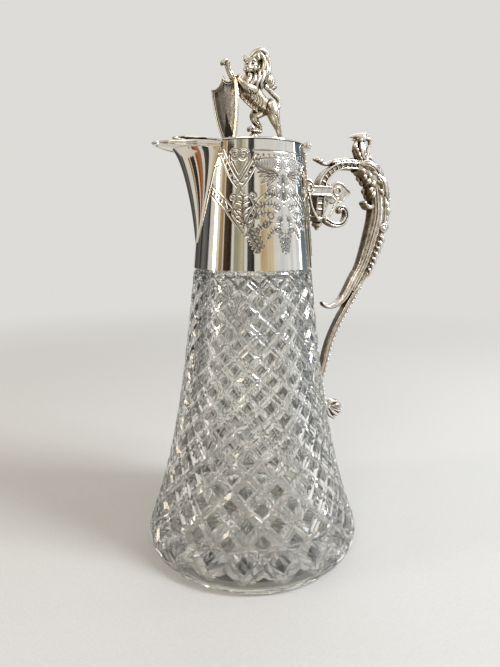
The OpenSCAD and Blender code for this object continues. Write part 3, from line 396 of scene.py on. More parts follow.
def buildGlass():
    place, faces = cutGlass()
    bm = bmesh.new()
    verts = [bm.verts.new(p) for p in place]
    for f in faces:
        try:
            bm.faces.new([verts[i] for i in f])
        except ValueError:
            pass
    bmesh.ops.remove_doubles(bm, verts=bm.verts, dist=0.004)
    bmesh.ops.dissolve_degenerate(bm, edges=bm.edges, dist=0.0005)
    bm.verts.ensure_lookup_table()
    loose = [v for v in bm.verts if not v.link_faces]
    bmesh.ops.delete(bm, geom=loose, context="VERTS")
    low, high = glass["lowEnd"], glass["highEnd"]

    def rimLoop(z):
        edge = {v for e in bm.edges if len(e.link_faces) == 1 for v in e.verts if abs(v.co.z - z) < 0.02}
        return sorted(edge, key=lambda v: math.atan2(v.co.y, v.co.x))

    def ring(radius, z, angles):
        return [bm.verts.new((radius * math.cos(a), radius * math.sin(a), z)) for a in angles]

    def join(a, b):
        for f in zipLoops(list(range(len(a))), [len(a) + i for i in range(len(b))]):
            corners = [a[i] if i < len(a) else b[i - len(a)] for i in f]
            if len(set(corners)) == 3:
                try:
                    bm.faces.new(corners)
                except ValueError:
                    pass

    def follow(last, profile, angles):
        for radius, z in profile:
            nextRing = ring(radius, z, angles)
            join(last, nextRing)
            last = nextRing
        return last

    def close(last, z):
        hub = bm.verts.new((0, 0, z))
        for i in range(len(last)):
            bm.faces.new((last[i], last[(i + 1) % len(last)], hub))

    # plain band and foot
    below = rimLoop(low)
    angles = [math.atan2(v.co.y, v.co.x) for v in below]
    base, foot = jug["baseRadius"], glass["footRadius"]
    band = [(base - 0.02, low - 1.2), (base - 0.35, low - 3), (base - 1.1, low - 4.6), (foot + 0.5, 0.35), (foot, 0)]
    last = follow(below, band, angles)
    even = [-math.pi + 2 * math.pi * (k + 0.5) / 384 for k in range(384)]
    inner = foot - glass["footWidth"]
    last = follow(last, [(inner, 0.0), (inner - 0.4, 0.3), (inner - 2, glass["recess"])], even)
    # star cut under the base: mitre cuts that widen outwards, with a fan of short cuts between them
    rays = glass["starRays"]
    for step in range(1, 13):
        radius = (inner - 2) * (1 - step / 13)
        nextRing = []
        for a in even:
            wave = abs((a * rays / (2 * math.pi)) % 1 - 0.5) * 2
            fan = abs((a * rays * 2 / (2 * math.pi)) % 1 - 0.5) * 2
            grow = min(1, (step - 0.2) / 2.2)
            cut = max(0, wave * 1.25 - 0.25) * glass["starDepth"] * grow * min(1, radius / 18)
            cut = max(cut, max(0, fan * 1.4 - 0.4) * glass["starDepth"] * 0.6 * grow * (1 if radius > 30 else 0.2))
            nextRing.append(bm.verts.new((radius * math.cos(a), radius * math.sin(a), glass["recess"] + cut)))
        join(last, nextRing)
        last = nextRing
    close(last, glass["recess"])
    # neck, bore and the hollow inside
    above = rimLoop(high)
    angles = [math.atan2(v.co.y, v.co.x) for v in above]
    neck, bore, neckTop, shoulder = glass["neckRadius"], glass["neckBore"], glass["neckTop"], jug["glassHeight"]
    last = follow(above, [(jug["waistRadius"] - 0.3, high + 1.2), (neck + 0.8, shoulder - 0.6), (neck, shoulder + 0.6),
                          (neck, neckTop - 0.6), (neck - 0.6, neckTop)], angles)
    even = [-math.pi + 2 * math.pi * (k + 0.5) / 128 for k in range(128)]
    inside = [(bore + 0.5, neckTop), (bore, neckTop - 0.6), (bore, 170), (bore + 0.3, 164)]
    for z in np.linspace(158, 30, 26):
        inside.append((float(glassRadius(z)) - glass["wall"], z))
    lowRadius = float(glassRadius(24)) - glass["wall"]
    for k in range(1, 9):
        a = math.radians(90 * k / 8)
        inside.append((lowRadius - 9 + 9 * math.cos(a), 12.2 + 11 * (1 - math.sin(a))))
    inside += [(lowRadius - 14, glass["floor"] + 0.05), (lowRadius * 0.5, glass["floor"]), (6, glass["floor"])]
    close(follow(last, inside, even), glass["floor"])
    bmesh.ops.recalc_face_normals(bm, faces=bm.faces)
    openEdges = sum(1 for e in bm.edges if len(e.link_faces) != 2)
    bmesh.ops.scale(bm, vec=(mm, mm, mm), verts=bm.verts)
    mesh = bpy.data.meshes.new("cut_glass_body")
    bm.to_mesh(mesh)
    bm.free()
    # how far each face lies in a cut, for the finish
    spots = np.empty(len(mesh.vertices) * 3, np.float32)
    mesh.vertices.foreach_get("co", spots)
    spots = spots.reshape(-1, 3) / mm
    depth = glassRadius(spots[:, 2]) - np.hypot(spots[:, 0], spots[:, 1])
    inCut = []
    for face in mesh.polygons:
        z, sunk = face.center.z / mm, float(np.mean(depth[list(face.vertices)]))
        if low < z < high and sunk < 3:
            inCut.append(0.0 if sunk < 0.03 else min(0.5 + sunk, 1.0))
        else:
            inCut.append(0.9 if z < 3.2 and math.hypot(face.center.x, face.center.y) / mm < inner - 2 else 0.5)
    mesh.attributes.new("cut", "FLOAT", "FACE").data.foreach_set("value", inCut)
    piece = newObject("cut_glass_body", mesh, cutCrystal)
    crispEdges(piece, 12)
    finishPiece(piece, "jug", "glass_body")
    print("glass:", len(mesh.polygons), "faces,", openEdges, "open edges")


buildGlass()


# Collar, engraved by hand; the pattern is drawn in mm round the collar and up it
engraving = {"axis": -79.5, "perDegree": 0.541, "reach": 46.0, "low": 172.0, "high": 232.0, "cell": 0.1,
             "fine": 0.42, "outline": 0.56, "depth": 0.17, "step": 0.27}


def arc(p, q, bend, count=12):
    # a stroke from p to q that bows to the left by bend times its length
    p, q = np.array(p, float), np.array(q, float)
    t = np.linspace(0, 1, count)[:, None]
    side = np.array([-(q - p)[1], (q - p)[0]])
    return p + (q - p) * t + side * bend * 4 * t * (1 - t)


def spiral(centre, radius, turns, start, hand=1, inner=0.35, count=30):
    t = np.linspace(0, 1, count)
    a = math.radians(start) + hand * t * turns * 2 * math.pi
    r = radius * (1 - t * (1 - inner))
    return np.stack([centre[0] + r * np.cos(a), centre[1] + r * np.sin(a)], 1)


def through(points, count=8):
    # a smooth line through points
    p = np.array(points, float)
    out = []
    for i in range(len(p) - 1):
        a, b, c, d = p[max(i - 1, 0)], p[i], p[i + 1], p[min(i + 2, len(p) - 1)]
        for t in np.linspace(0, 1, count, endpoint=False):
            out.append(0.5 * (2 * b + (c - a) * t + (2 * a - 5 * b + 4 * c - d) * t * t + (3 * b - a - 3 * c + d)
                              * t ** 3))
    return np.array(out + [p[-1]])


def beside(line, distance):
    way = np.gradient(line, axis=0)
    way /= np.linalg.norm(way, axis=1)[:, None] + 1e-9
    return line + np.stack([-way[:, 1], way[:, 0]], 1) * distance


def leafStrokes(root, tip, width, veins=3, curl=0.12):
    # a pointed leaf: two edges, a rib and short veins
    root, tip = np.array(root, float), np.array(tip, float)
    bow = width / max(np.linalg.norm(tip - root), 0.1) / 2
    out = [arc(root, tip, bow + curl), arc(root, tip, curl - bow), arc(root, tip, curl)]
    rib = arc(root, tip, curl, 10)
    for k in range(veins):
        base = rib[2 + 2 * k]
        for edge in (out[0], out[1]):
            out.append(arc(base, edge[min(4 + 2 * k + 1, 11)], 0.1, 5))
    return out


def acanthus(root, tip, width, lobes=5, curl=0.15):
    # a scrolling leaf: a bowed stem with lobes that curl back from both sides
    stem = arc(root, tip, curl, 24)
    out = [stem]
    way = np.gradient(stem, axis=0)
    way /= np.linalg.norm(way, axis=1)[:, None]
    side = np.stack([-way[:, 1], way[:, 0]], 1)
    for k in range(lobes):
        i = int(3 + k * 19 / lobes)
        spread = width * (1 - 0.55 * k / lobes) * (0.7 + 0.3 * (k % 2))
        for s in (-1, 1):
            end = stem[i] + side[i] * s * spread / 2 + way[i] * spread * 0.55
            out.append(arc(stem[i], end, -0.28 * s, 7))
            out.append(arc(stem[min(i + 3, 23)], end, -0.12 * s, 6))
    return out


def strap(line, gap, pitch, dots):
    line = through(line)
    length = np.concatenate([[0], np.cumsum(np.linalg.norm(np.diff(line, axis=0), axis=1))])
    for at in np.arange(pitch * 0.6, length[-1] - pitch * 0.3, pitch):
        dots.append((np.interp(at, length, line[:, 0]), np.interp(at, length, line[:, 1])))
    return [beside(line, gap / 2), beside(line, -gap / 2)]


def engravedPattern():
    # strokes as (points, width), dots as (x, z); x runs round the collar in mm, from the pattern's axis to the handle
    fine, bold = engraving["fine"], engraving["outline"]
    strokes, dots = [], []

    def cut(lines, width=fine, mirror=False):
        for line in lines:
            strokes.append((line, width))
            if mirror:
                strokes.append((line * np.array([-1, 1]), width))

    # wire line and row of punched dots under the mouth
    cut([np.array([(-16.5, 227.6), (42, 227.6)])], bold)
    dots += [(x, 225.3) for x in np.arange(-14.2, 42, 3.0)]
    # dotted V strap with its double-volute heart, near the spout
    cut(strap([(-36.5, 229.5), (-33.0, 223.5), (-28.6, 216.2), (-24.2, 210.6)], 3.0, 3.4, dots), bold)
    cut(strap([(-14.0, 225.2), (-16.9, 220.4), (-20.4, 214.6), (-23.6, 210.4)], 3.0, 3.4, dots), bold)
    cut([np.array([(-38.5, 226.3), (-35.2, 226.3)]), np.array([(-39.5, 220.6), (-35.6, 221.2)])], bold)
    for s, x in ((-1, -26.9), (1, -22.1)):
        cut([spiral((x, 225.4), 3.5, 1.35, 90 - s * 62, s), spiral((x, 225.4), 2.6, 1.2, 90 - s * 62, s)], fine)
        cut([spiral((x, 225.4), 1.25, 1, 0, 1, 1.0)], fine)
        cut([through([(x + s * 3.5, 225.6), (x + s * 3.3, 222.2), (-24.5 + s * 2.6, 217.8), (-24.5 + s * 0.2, 213.8)])],
            bold)
        cut([through([(x + s * 1.9, 223.0), (-24.5 + s * 2.4, 219.8), (-24.5 + s * 0.3, 216.4)])], fine)
        dots.append((x, 225.4))
    # lower dotted straps that meet in a point
    cut(strap([(-43.5, 210.4), (-38.5, 206.6), (-31.4, 201.0), (-26.2, 195.4), (-20.2, 188.2)], 4.0, 3.3, dots), bold)
    cut(strap([(-6.6, 207.6), (-11.6, 203.6), (-15.4, 198.6), (-18.6, 193.2), (-20.0, 188.6)], 3.6, 3.2, dots), bold)
    cut([np.array([(-32.4, 204.4), (-30.0, 198.2)]), np.array([(-16.2, 202.4), (-13.0, 199.8)])], bold)
    cut(strap([(6.6, 207.6), (13.0, 202.2), (19.5, 197.4), (26.0, 195.2)], 3.6, 3.2, dots), bold)
    # leaf between the straps
    cut(acanthus((-20.8, 190.5), (-21.6, 206.0), 9.5, 6, 0.06), fine)
    cut([spiral((-16.6, 205.2), 2.0, 1.3, 200, -1), spiral((-27.4, 204.6), 1.8, 1.2, -20, 1)], bold)
    cut([arc((-20.8, 191.5), (-25.4, 203.6), 0.3), arc((-20.6, 191.5), (-17.6, 203.8), -0.3)], bold)
    cut([arc((-23.4, 210.0), (-26.4, 205.8), 0.25), arc((-23.4, 210.0), (-19.6, 206.0), -0.25)], fine)
    # shell fans under the wire line
    for k in range(13):
        top = (-3.6 - k * 1.02, 224.6 - 0.012 * k * k)
        low = (-4.2 - k * 0.82, 217.0 + 0.018 * k * k)
        cut([arc(low, top, 0.22)], fine, True)
        cut([arc(top, (top[0] - 1.0, top[1] - 0.1), 0.5, 6)], fine, True)
    cut([spiral((-3.0, 220.9), 2.9, 2.1, 100, -1, 0.12)], bold, True)
    cut([through([(-16.8, 223.6), (-15.2, 219.8), (-11.6, 217.2), (-7.0, 216.2), (-3.2, 216.8), (-0.7, 219.4)])], bold,
        True)
    cut([spiral((-3.0, 220.9), 0.7, 1, 0, 1, 1.0)], bold, True)
    # leaves below the fans
    for tip, wide in (((-13.6, 214.6), 2.8), ((-12.6, 211.4), 2.6), ((-9.6, 209.9), 2.2), ((-14.6, 216.6), 1.8)):
        cut(leafStrokes((-2.6, 215.6), tip, wide, 2, -0.12), fine, True)
    # bell with an oval jewel, petals up and down
    cut([spiral((0, 209.4), 1.15, 1, 90, 1, 1.0)], bold)
    cut([through([(0.9, 209.4), (0.6, 211.2), (0, 212.0), (-0.6, 211.2), (-0.9, 209.4), (-0.6, 207.6), (0, 206.8),
                  (0.6, 207.6), (0.9, 209.4)])], bold)
    for a in (20, 45, 68, 84):
        d = np.array([math.sin(math.radians(90 - a)), math.cos(math.radians(90 - a))])
        cut(leafStrokes((d[0] * 1.4, 209.4 + d[1] * 2.4), (d[0] * 4.2, 209.8 + d[1] * 6.6), 1.3, 0, 0.1), fine, True)
        cut(leafStrokes((d[0] * 1.4, 209.4 - d[1] * 2.4), (d[0] * 4.0, 208.6 - d[1] * 6.0), 1.3, 0, -0.1), fine, True)
    for r in (2.5, 1.5):
        cut([spiral((-6.7, 207.9), r, 1, 0, 1, 1.0)], bold, True)
    dots += [(-6.7, 207.9), (6.7, 207.9), (0, 201.2), (0, 176.4), (0, 209.4)]
    # scrolls and leaves of the lower cluster
    for centre, r, start, hand in (((-3.6, 199.6), 2.2, 60, 1), ((-7.4, 195.4), 2.7, 30, 1),
                                   ((-2.6, 193.6), 2.0, 200, -1), ((-10.4, 190.8), 2.3, 40, 1),
                                   ((-4.2, 188.4), 1.9, 0, -1)):
        cut([spiral(centre, r, 1.4, start, hand, 0.15), spiral(centre, r * 0.72, 1.1, start + 20, hand, 0.3)], fine,
            True)
    for root, tip, wide in (((-2, 203.5), (-11.4, 205.4), 4.2), ((-3, 199.5), (-13.8, 199.6), 4.6),
                            ((-6, 196.5), (-16.6, 193.6), 5.0), ((-5, 192.0), (-15.2, 187.4), 4.6),
                            ((-3, 189.5), (-9.8, 183.2), 3.8), ((-1, 196), (-1.6, 186), 4.0)):
        cut(acanthus(root, tip, wide, 5, -0.16), fine, True)
    cut(acanthus((0, 188.6), (0, 176.8), 6.2, 6, 0.0), fine)
    for k in range(4):
        cut(leafStrokes((-0.4, 186.6 - 2.4 * k), (-3.8 + 0.7 * k, 184.2 - 2.5 * k), 1.4, 1, -0.2), fine, True)
    # loose spray towards the spout
    cut([through([(-18.8, 189.0), (-16.6, 184.2), (-13.6, 179.0)])], fine)
    for k in range(5):
        p = np.array((-18.4 + 1.15 * k, 188.2 - 2.1 * k))
        cut(leafStrokes(p, p + np.array((3.6 - 0.3 * k, 1.4)), 1.8, 1, -0.2), fine)
        cut(leafStrokes(p, p + np.array((-2.2, -2.9)), 1.6, 1, 0.2), fine)
    return strokes, dots


def engravedMap():
    # depth of the engraving on an even grid, 0 to 1
    e = engraving
    xs = np.arange(-e["reach"], e["reach"], e["cell"])
    zs = np.arange(e["low"], e["high"], e["cell"])
    depth = np.zeros((len(zs), len(xs)), np.float32)

    def stamp(p, q, width):
        pad = width + 0.2
        x0, x1 = np.searchsorted(xs, (min(p[0], q[0]) - pad, max(p[0], q[0]) + pad))
        z0, z1 = np.searchsorted(zs, (min(p[1], q[1]) - pad, max(p[1], q[1]) + pad))
        if x0 >= x1 or z0 >= z1:
            return
        gx, gz = np.meshgrid(xs[x0:x1], zs[z0:z1])
        d = q - p
        t = np.clip(((gx - p[0]) * d[0] + (gz - p[1]) * d[1]) / max(d @ d, 1e-9), 0, 1)
        away = np.hypot(gx - p[0] - t * d[0], gz - p[1] - t * d[1])
        value = np.clip(1.25 - away / (width / 2) * 0.9, 0, 1)
        depth[z0:z1, x0:x1] = np.maximum(depth[z0:z1, x0:x1], value)

    strokes, dots = engravedPattern()
    for line, width in strokes:
        for i in range(len(line) - 1):
            taper = 0.72 + 0.28 * math.sin(math.pi * (i + 0.5) / (len(line) - 1))
            stamp(line[i], line[i + 1], width * taper)
    for x, z in dots:
        stamp(np.array((x, z)), np.array((x, z + 0.01)), 1.25)
    return xs, zs, depth


def engravedAt(azimuth, z, table):
    # azimuth in degrees from the handle; both sides of the jug carry the same pattern, mirrored
    xs, zs, depth = table
    x = (-np.abs(azimuth) - engraving["axis"]) * engraving["perDegree"]
    i = np.clip((x - xs[0]) / engraving["cell"], 0, len(xs) - 1.001)
    j = np.clip((z - zs[0]) / engraving["cell"], 0, len(zs) - 1.001)
    i0, j0 = i.astype(int), j.astype(int)
    u, v = i - i0, j - j0
    value = (depth[j0, i0] * (1 - u) * (1 - v) + depth[j0, i0 + 1] * u * (1 - v)
             + depth[j0 + 1, i0] * (1 - u) * v + depth[j0 + 1, i0 + 1] * u * v)
    inside = (x > xs[0]) & (x < xs[-1]) & (z > zs[0]) & (z < zs[-1])
    return np.where(inside, value, 0)


# Bright plate again, with hand-cut lines that hold dark polish: bright lands, brown-black cuts
def engravedPlate(name):
    material = polishedPlate(name)
    tree = material.node_tree
    shader = tree.nodes["Principled BSDF"]
    cut = addNode(tree, "ShaderNodeAttribute", {"attribute_name": "engraved"}).outputs["Fac"]
    # for each socket the mix node's kind, its numbers for plain, cut and result, and the value in the cuts
    for socket, kind, first, second, result, dark in (("Base Color", "RGBA", 6, 7, 2, hexColour("#4A423A")),
                                                      ("Roughness", "FLOAT", 2, 3, 0, 0.42)):
        source = shader.inputs[socket].links[0].from_socket
        mix = addNode(tree, "ShaderNodeMix", {"data_type": kind}, {0: cut, first: source})
        mix.inputs[second].default_value = dark
        tree.links.new(mix.outputs[result], shader.inputs[socket])
    return material


def buildCollar():
    table = engravedMap()
    low, high = jug["mouth"] - jug["collarHeight"], jug["mouth"]
    step = engraving["step"]
    rows = np.concatenate([np.linspace(low, 174.0, 6)[:-1], np.arange(174.0, 229.6, step), np.linspace(229.8, high, 5)])
    fine = np.degrees(step / 31.0)
    halfTurn = np.concatenate([np.arange(0, 30, 2.0), np.arange(30, 166, fine), np.arange(166, 180, 2.0), [180.0]])
    columns = np.concatenate([-halfTurn[::-1], halfTurn[1:]])
    cutLow = jug["mouth"] - jug["spoutDrop"] + 2.4

    def gridPoints(rows, columns, inset):
        z = rows[:, None] + 0 * columns[None, :]
        opening = np.clip((rows - cutLow) / (jug["mouth"] + 1 - cutLow), 0, 1) * 15.0
        half = np.degrees(np.arcsin(np.clip(opening / collarRadius(rows), 0, 0.95)))[:, None]
        size = np.abs(columns)[None, :]
        size = np.where(size > 95, 95 + (size - 95) * (85 - half) / 85, size + 0 * half)
        azimuth = np.sign(columns)[None, :] * size
        cut = engravedAt(azimuth, z, table) if inset == 0 else 0 * z
        r = collarRadius(z) - inset - cut * engraving["depth"]
        a = np.radians(azimuth)
        return np.stack([r * np.cos(a), r * np.sin(a), z], -1), cut

    outer, cut = gridPoints(rows, columns, 0)
    innerRows, innerColumns = rows[:: max(1, len(rows) // 16)], columns[::6]
    innerRows = np.append(innerRows[:-1], high) if innerRows[-1] != high else innerRows
    innerColumns = np.append(innerColumns, 180.0) if innerColumns[-1] != 180 else innerColumns
    inner, _ = gridPoints(innerRows, innerColumns, jug["sheet"])
    nr, nc = len(rows), len(columns)
    mr, mc = len(innerRows), len(innerColumns)
    points = np.concatenate([outer.reshape(-1, 3), inner.reshape(-1, 3)])
    faces = gridFaces(nr, nc, 0, False)
    base = nr * nc
    faces += [f[::-1] for f in gridFaces(mr, mc, base, False)]

    def edgeLoop(r, c, start):
        return ([start + i for i in range(c)], [start + i * c + c - 1 for i in range(r)],
                [start + (r - 1) * c + i for i in range(c)][::-1], [start + i * c for i in range(r)][::-1])

    for a, b in zip(edgeLoop(nr, nc, 0), edgeLoop(mr, mc, base)):
        i = j = 0
        while i < len(a) - 1 or j < len(b) - 1:
            if j >= len(b) - 1 or (i < len(a) - 1 and (i + 1) / (len(a) - 1) <= (j + 1) / (len(b) - 1)):
                faces.append([a[i + 1], a[i], b[j]])
                i += 1
            else:
                faces.append([a[i], b[j], b[j + 1]])
                j += 1
    material = engravedPlate("electroplated silver, hand engraved")
    piece = makePiece("engraved_collar", points, faces, material, "jug", "collar")
    values = np.zeros(len(piece.data.vertices), np.float32)
    values[:base] = cut.reshape(-1)
    attribute = piece.data.attributes.new("engraved", "FLOAT", "POINT")
    attribute.data.foreach_set("value", values)
    crispEdges(piece, 50)
    print("collar:", len(piece.data.polygons), "faces")


buildCollar()


# Spout: a thin V trough with a stepped moulding round its lip
spout = {"reach": 54.6, "half": 16.2, "lip": 2.8, "sheet": 1.0}


def archPlan(reach, half, root, count=40, point=1.65):
    s = 1 - 2 * np.arange(count + 1) / count
    y = np.sin(s * math.pi / 2)
    return np.stack([-(root + (reach - root) * (1 - np.abs(y) ** 2) ** (1 / point)), half * y], 1)


def spoutWide(up):
    return spout["half"] * (0.82 * up + 0.18 * (1 - (1 - up) ** 12))


def spoutKeel(up, z):
    run = spout["reach"] - jug["collarTop"] - 0.7
    return collarRadius(z) + 0.7 + run * (0.28 * up + 0.31 * up ** 2 + 0.14 * up ** 11)


def buildSpout():
    low, top = jug["mouth"] - jug["spoutDrop"], jug["mouth"] - spout["lip"]
    most = spout["half"] - spout["sheet"] - 0.05
    outer, inner = [], []
    levels = [low + u * (top - low) for u in np.linspace(0.015, 1, 70)] + [top + d for d in (0.25, 0.6, 1.1, 1.6, 2.0)]
    for z in levels:
        up = (z - low) / jug["spoutDrop"]
        if z <= top:
            wide, keel = min(most, spoutWide(up)), spoutKeel(up, z)
        else:
            t = (z - top) / 2.0
            start = spoutKeel((top - low) / jug["spoutDrop"], top)
            wide, keel = most, start + (spout["reach"] - 1.05 - start) * (1 - (1 - t) ** 2.2) ** (1 / 1.4)
        reach = collarRadius(z) + 0.06
        root = math.sqrt(reach ** 2 - wide ** 2)
        thin = min(spout["sheet"], 0.6 * wide)
        innerRoot = math.sqrt(reach ** 2 - (wide - thin) ** 2)
        outer.append([(x, y, z) for x, y in archPlan(keel, wide, root)])
        inner.append([(x, y, z) for x, y in archPlan(keel - min(spout["sheet"], 0.5 * (keel - root)), wide - thin,
                                                     innerRoot)])
    rows, n = len(levels), len(outer[0])
    points = np.concatenate([np.array(outer).reshape(-1, 3), np.array(inner).reshape(-1, 3)])
    faces = gridFaces(rows, n, 0, False)
    faces = [f[::-1] for f in faces] + gridFaces(rows, n, rows * n, False)
    size = rows * n
    for k in range(n - 1):
        faces.append([k, k + 1, size + k + 1, size + k])
        q = (rows - 1) * n
        faces.append([q + k + 1, q + k, size + q + k, size + q + k + 1])
    for j in range(rows - 1):
        faces.append([j * n, size + j * n, size + (j + 1) * n, (j + 1) * n])
        faces.append([j * n + n - 1, (j + 1) * n + n - 1, size + (j + 1) * n + n - 1, size + j * n + n - 1])
    crispEdges(makePiece("spout_trough", points, faces, brightPlate, "jug", "spout"), 40)


def buildRim():
    # stepped half-round moulding round the lip, thinner towards the tip
    reach = collarRadius(jug["mouth"] - 0.8) + 0.1
    root = math.sqrt(reach ** 2 - (spout["half"] - 1.05) ** 2)
    section = [(-0.95, -0.02), (-0.4, 0.0), (0.5, -0.04), (1.02, -0.32), (1.26, -0.8), (1.2, -1.3), (0.86, -1.68),
               (0.5, -1.78), (0.5, -2.0), (0.72, -2.16), (0.74, -2.5), (0.5, -2.74), (0.1, -2.8), (-0.95, -2.8)]
    count = 72
    paths = [archPlan(spout["reach"] + out, spout["half"] + out, root, count) for out, up in section]
    points = []
    for p, (x, y) in enumerate(archPlan(spout["reach"], spout["half"], root, count)):
        thin = 1 - 0.42 * float(smoothStep(-collarRadius(jug["mouth"]) - 13, -spout["reach"], x)) if x < -40 else 1
        points += [(path[p][0], path[p][1], jug["mouth"] + up * thin) for path, (out, up) in zip(paths, section)]
    n = len(section)
    faces = gridFaces(count + 1, n)
    faces += [list(range(n)), [count * n + k for k in range(n)][::-1]]
    crispEdges(makePiece("spout_moulding", points, faces, brightPlate, "jug", "spout_rim"), 50, True)


buildSpout()
buildRim()
print("spout made")


# Sculpting: rounded limbs joined by a voxel remesh, then smoothed and cut
def capsule(a, b, sides=14, rings=5):
    # closed skin round two balls, each (x, y, z, radius)
    a, b = np.array(a, float), np.array(b, float)
    along = b[:3] - a[:3]
    length = np.linalg.norm(along)
    if length < abs(a[3] - b[3]) + 1e-6:
        big = a if a[3] > b[3] else b
        a, b = big.copy(), big.copy()
        along, length = np.array([0, 0, 1.0]), 1.0
        b[:3] = a[:3] + along * 1e-4
    way = along / np.linalg.norm(along)
    side = np.cross(way, [0, 0, 1.0] if abs(way[2]) < 0.9 else [1.0, 0, 0])
    side /= np.linalg.norm(side)
    other = np.cross(way, side)
    turn = math.acos(max(-1, min(1, (b[3] - a[3]) / length)))
    points = [a[:3] - way * a[3]]
    for ball, angles in ((a, np.linspace(0, turn, rings + 1)[1:]), (b, np.linspace(turn, math.pi, rings + 1)[:-1])):
        for angle in angles:
            for k in range(sides):
                t = 2 * math.pi * k / sides
                points.append(ball[:3] + ball[3] * (math.sin(angle) * (math.cos(t) * side + math.sin(t) * other)
                                                    - math.cos(angle) * way))
    points.append(b[:3] + way * b[3])
    rows, faces = 2 * rings, []
    for k in range(sides):
        m = (k + 1) % sides
        faces.append([0, 1 + m, 1 + k])
        faces.append([len(points) - 1, 1 + (rows - 1) * sides + k, 1 + (rows - 1) * sides + m])
        for r in range(rows - 1):
            q = 1 + r * sides
            faces.append([q + k, q + m, q + sides + m, q + sides + k])
    return np.array(points), faces


def chain(stations, count=4):
    line = through(stations, count)
    return [(line[i], line[i + 1]) for i in range(len(line) - 1)]


def rounded(blobs, sides=14, rings=5):
    return [capsule(a, b, sides, rings) for a, b in blobs]


def beads(line):
    # limbs between the points of a line
    return list(zip(line[:-1], line[1:]))


def mirrored(blobs):
    flip = np.array([1, -1, 1, 1])
    return [(np.array(a) * flip, np.array(b) * flip) for a, b in blobs]


def joinMeshes(parts):
    points, faces, start = [], [], 0
    for p, f in parts:
        points.append(p)
        faces += [[i + start for i in one] for one in f]
        start += len(p)
    return np.concatenate(points), faces


def voxelSkin(parts, voxel):
    # one closed skin round overlapping closed meshes, in mm
    points, faces = joinMeshes(parts)
    mesh = bpy.data.meshes.new("rough")
    mesh.from_pydata((points * mm).tolist(), [], faces)
    rough = newObject("rough", mesh)
    modifier = rough.modifiers.new("skin", "REMESH")
    modifier.mode = "VOXEL"
    modifier.voxel_size = voxel * mm
    done = bpy.data.meshes.new_from_object(rough.evaluated_get(bpy.context.evaluated_depsgraph_get()))
    place = np.empty(len(done.vertices) * 3)
    done.vertices.foreach_get("co", place)
    skin = [list(p.vertices) for p in done.polygons]
    bpy.data.objects.remove(rough)
    bpy.data.meshes.remove(mesh)
    bpy.data.meshes.remove(done)
    return place.reshape(-1, 3) / mm, skin


def relax(points, faces, rounds=3, strength=0.55):
    # smoothing that keeps the volume: each round shrinks and then grows
    quads = np.array([f if len(f) == 4 else list(f) + [f[-1]] for f in faces])
    edges = np.concatenate([quads[:, [0, 1]], quads[:, [1, 2]], quads[:, [2, 3]], quads[:, [3, 0]]])
    edges = edges[edges[:, 0] != edges[:, 1]]
    count = np.bincount(edges.ravel(), minlength=len(points))[:, None]
    for k in range(rounds * 2):
        total = np.zeros_like(points)
        for axis in range(3):
            total[:, axis] = (np.bincount(edges[:, 0], points[edges[:, 1], axis], len(points))
                              + np.bincount(edges[:, 1], points[edges[:, 0], axis], len(points)))
        points = points + (total / np.maximum(count, 1) - points) * (strength if k % 2 == 0 else -strength * 0.96)
    return points


def skinNormals(points, faces):
    quads = np.array([f if len(f) == 4 else list(f) + [f[-1]] for f in faces])
    cross = np.cross(points[quads[:, 2]] - points[quads[:, 0]], points[quads[:, 3]] - points[quads[:, 1]])
    normal = np.zeros_like(points)
    for corner in range(4):
        for axis in range(3):
            normal[:, axis] += np.bincount(quads[:, corner], cross[:, axis], len(points))
    return normal / (np.linalg.norm(normal, axis=1)[:, None] + 1e-12)


def nearLines(flat, lines, reach):
    # distance from each flat point to the nearest stroke
    best = np.full(len(flat), reach * 2.0)
    for line in lines:
        line = np.asarray(line, float)
        low, high = line.min(0) - reach, line.max(0) + reach
        pick = np.where(np.all((flat > low) & (flat < high), axis=1))[0]
        for i in range(len(line) - 1):
            p, d = line[i], line[i + 1] - line[i]
            t = np.clip(((flat[pick] - p) @ d) / max(d @ d, 1e-9), 0, 1)
            best[pick] = np.minimum(best[pick], np.linalg.norm(flat[pick] - p - t[:, None] * d, axis=1))
    return best


def groove(points, faces, lines, width=0.5, depth=0.35):
    # press strokes drawn in the plane of the handle into the skin that faces across it
    normal = skinNormals(points, faces)
    away = nearLines(points[:, (0, 2)], lines, width)
    cut = (1 - smoothStep(0.1 * width, width, away)) * smoothStep(0.15, 0.5, np.abs(normal[:, 1]))
    return points - normal * (cut * depth)[:, None]


def placed(points, turn, shift):
    c, s = math.cos(math.radians(turn)), math.sin(math.radians(turn))
    out = points.copy()
    out[:, 0], out[:, 1] = points[:, 0] * c - points[:, 1] * s, points[:, 0] * s + points[:, 1] * c
    return out + np.array(shift)


# Lion, cast and chased: x runs back from its chest, y away from the camera's side, z up from the lid
lion = {"turn": 15, "voxel": 0.27, "ball": (3.8, 4.0), "ballRadius": 2.9, "eye": 0.62}


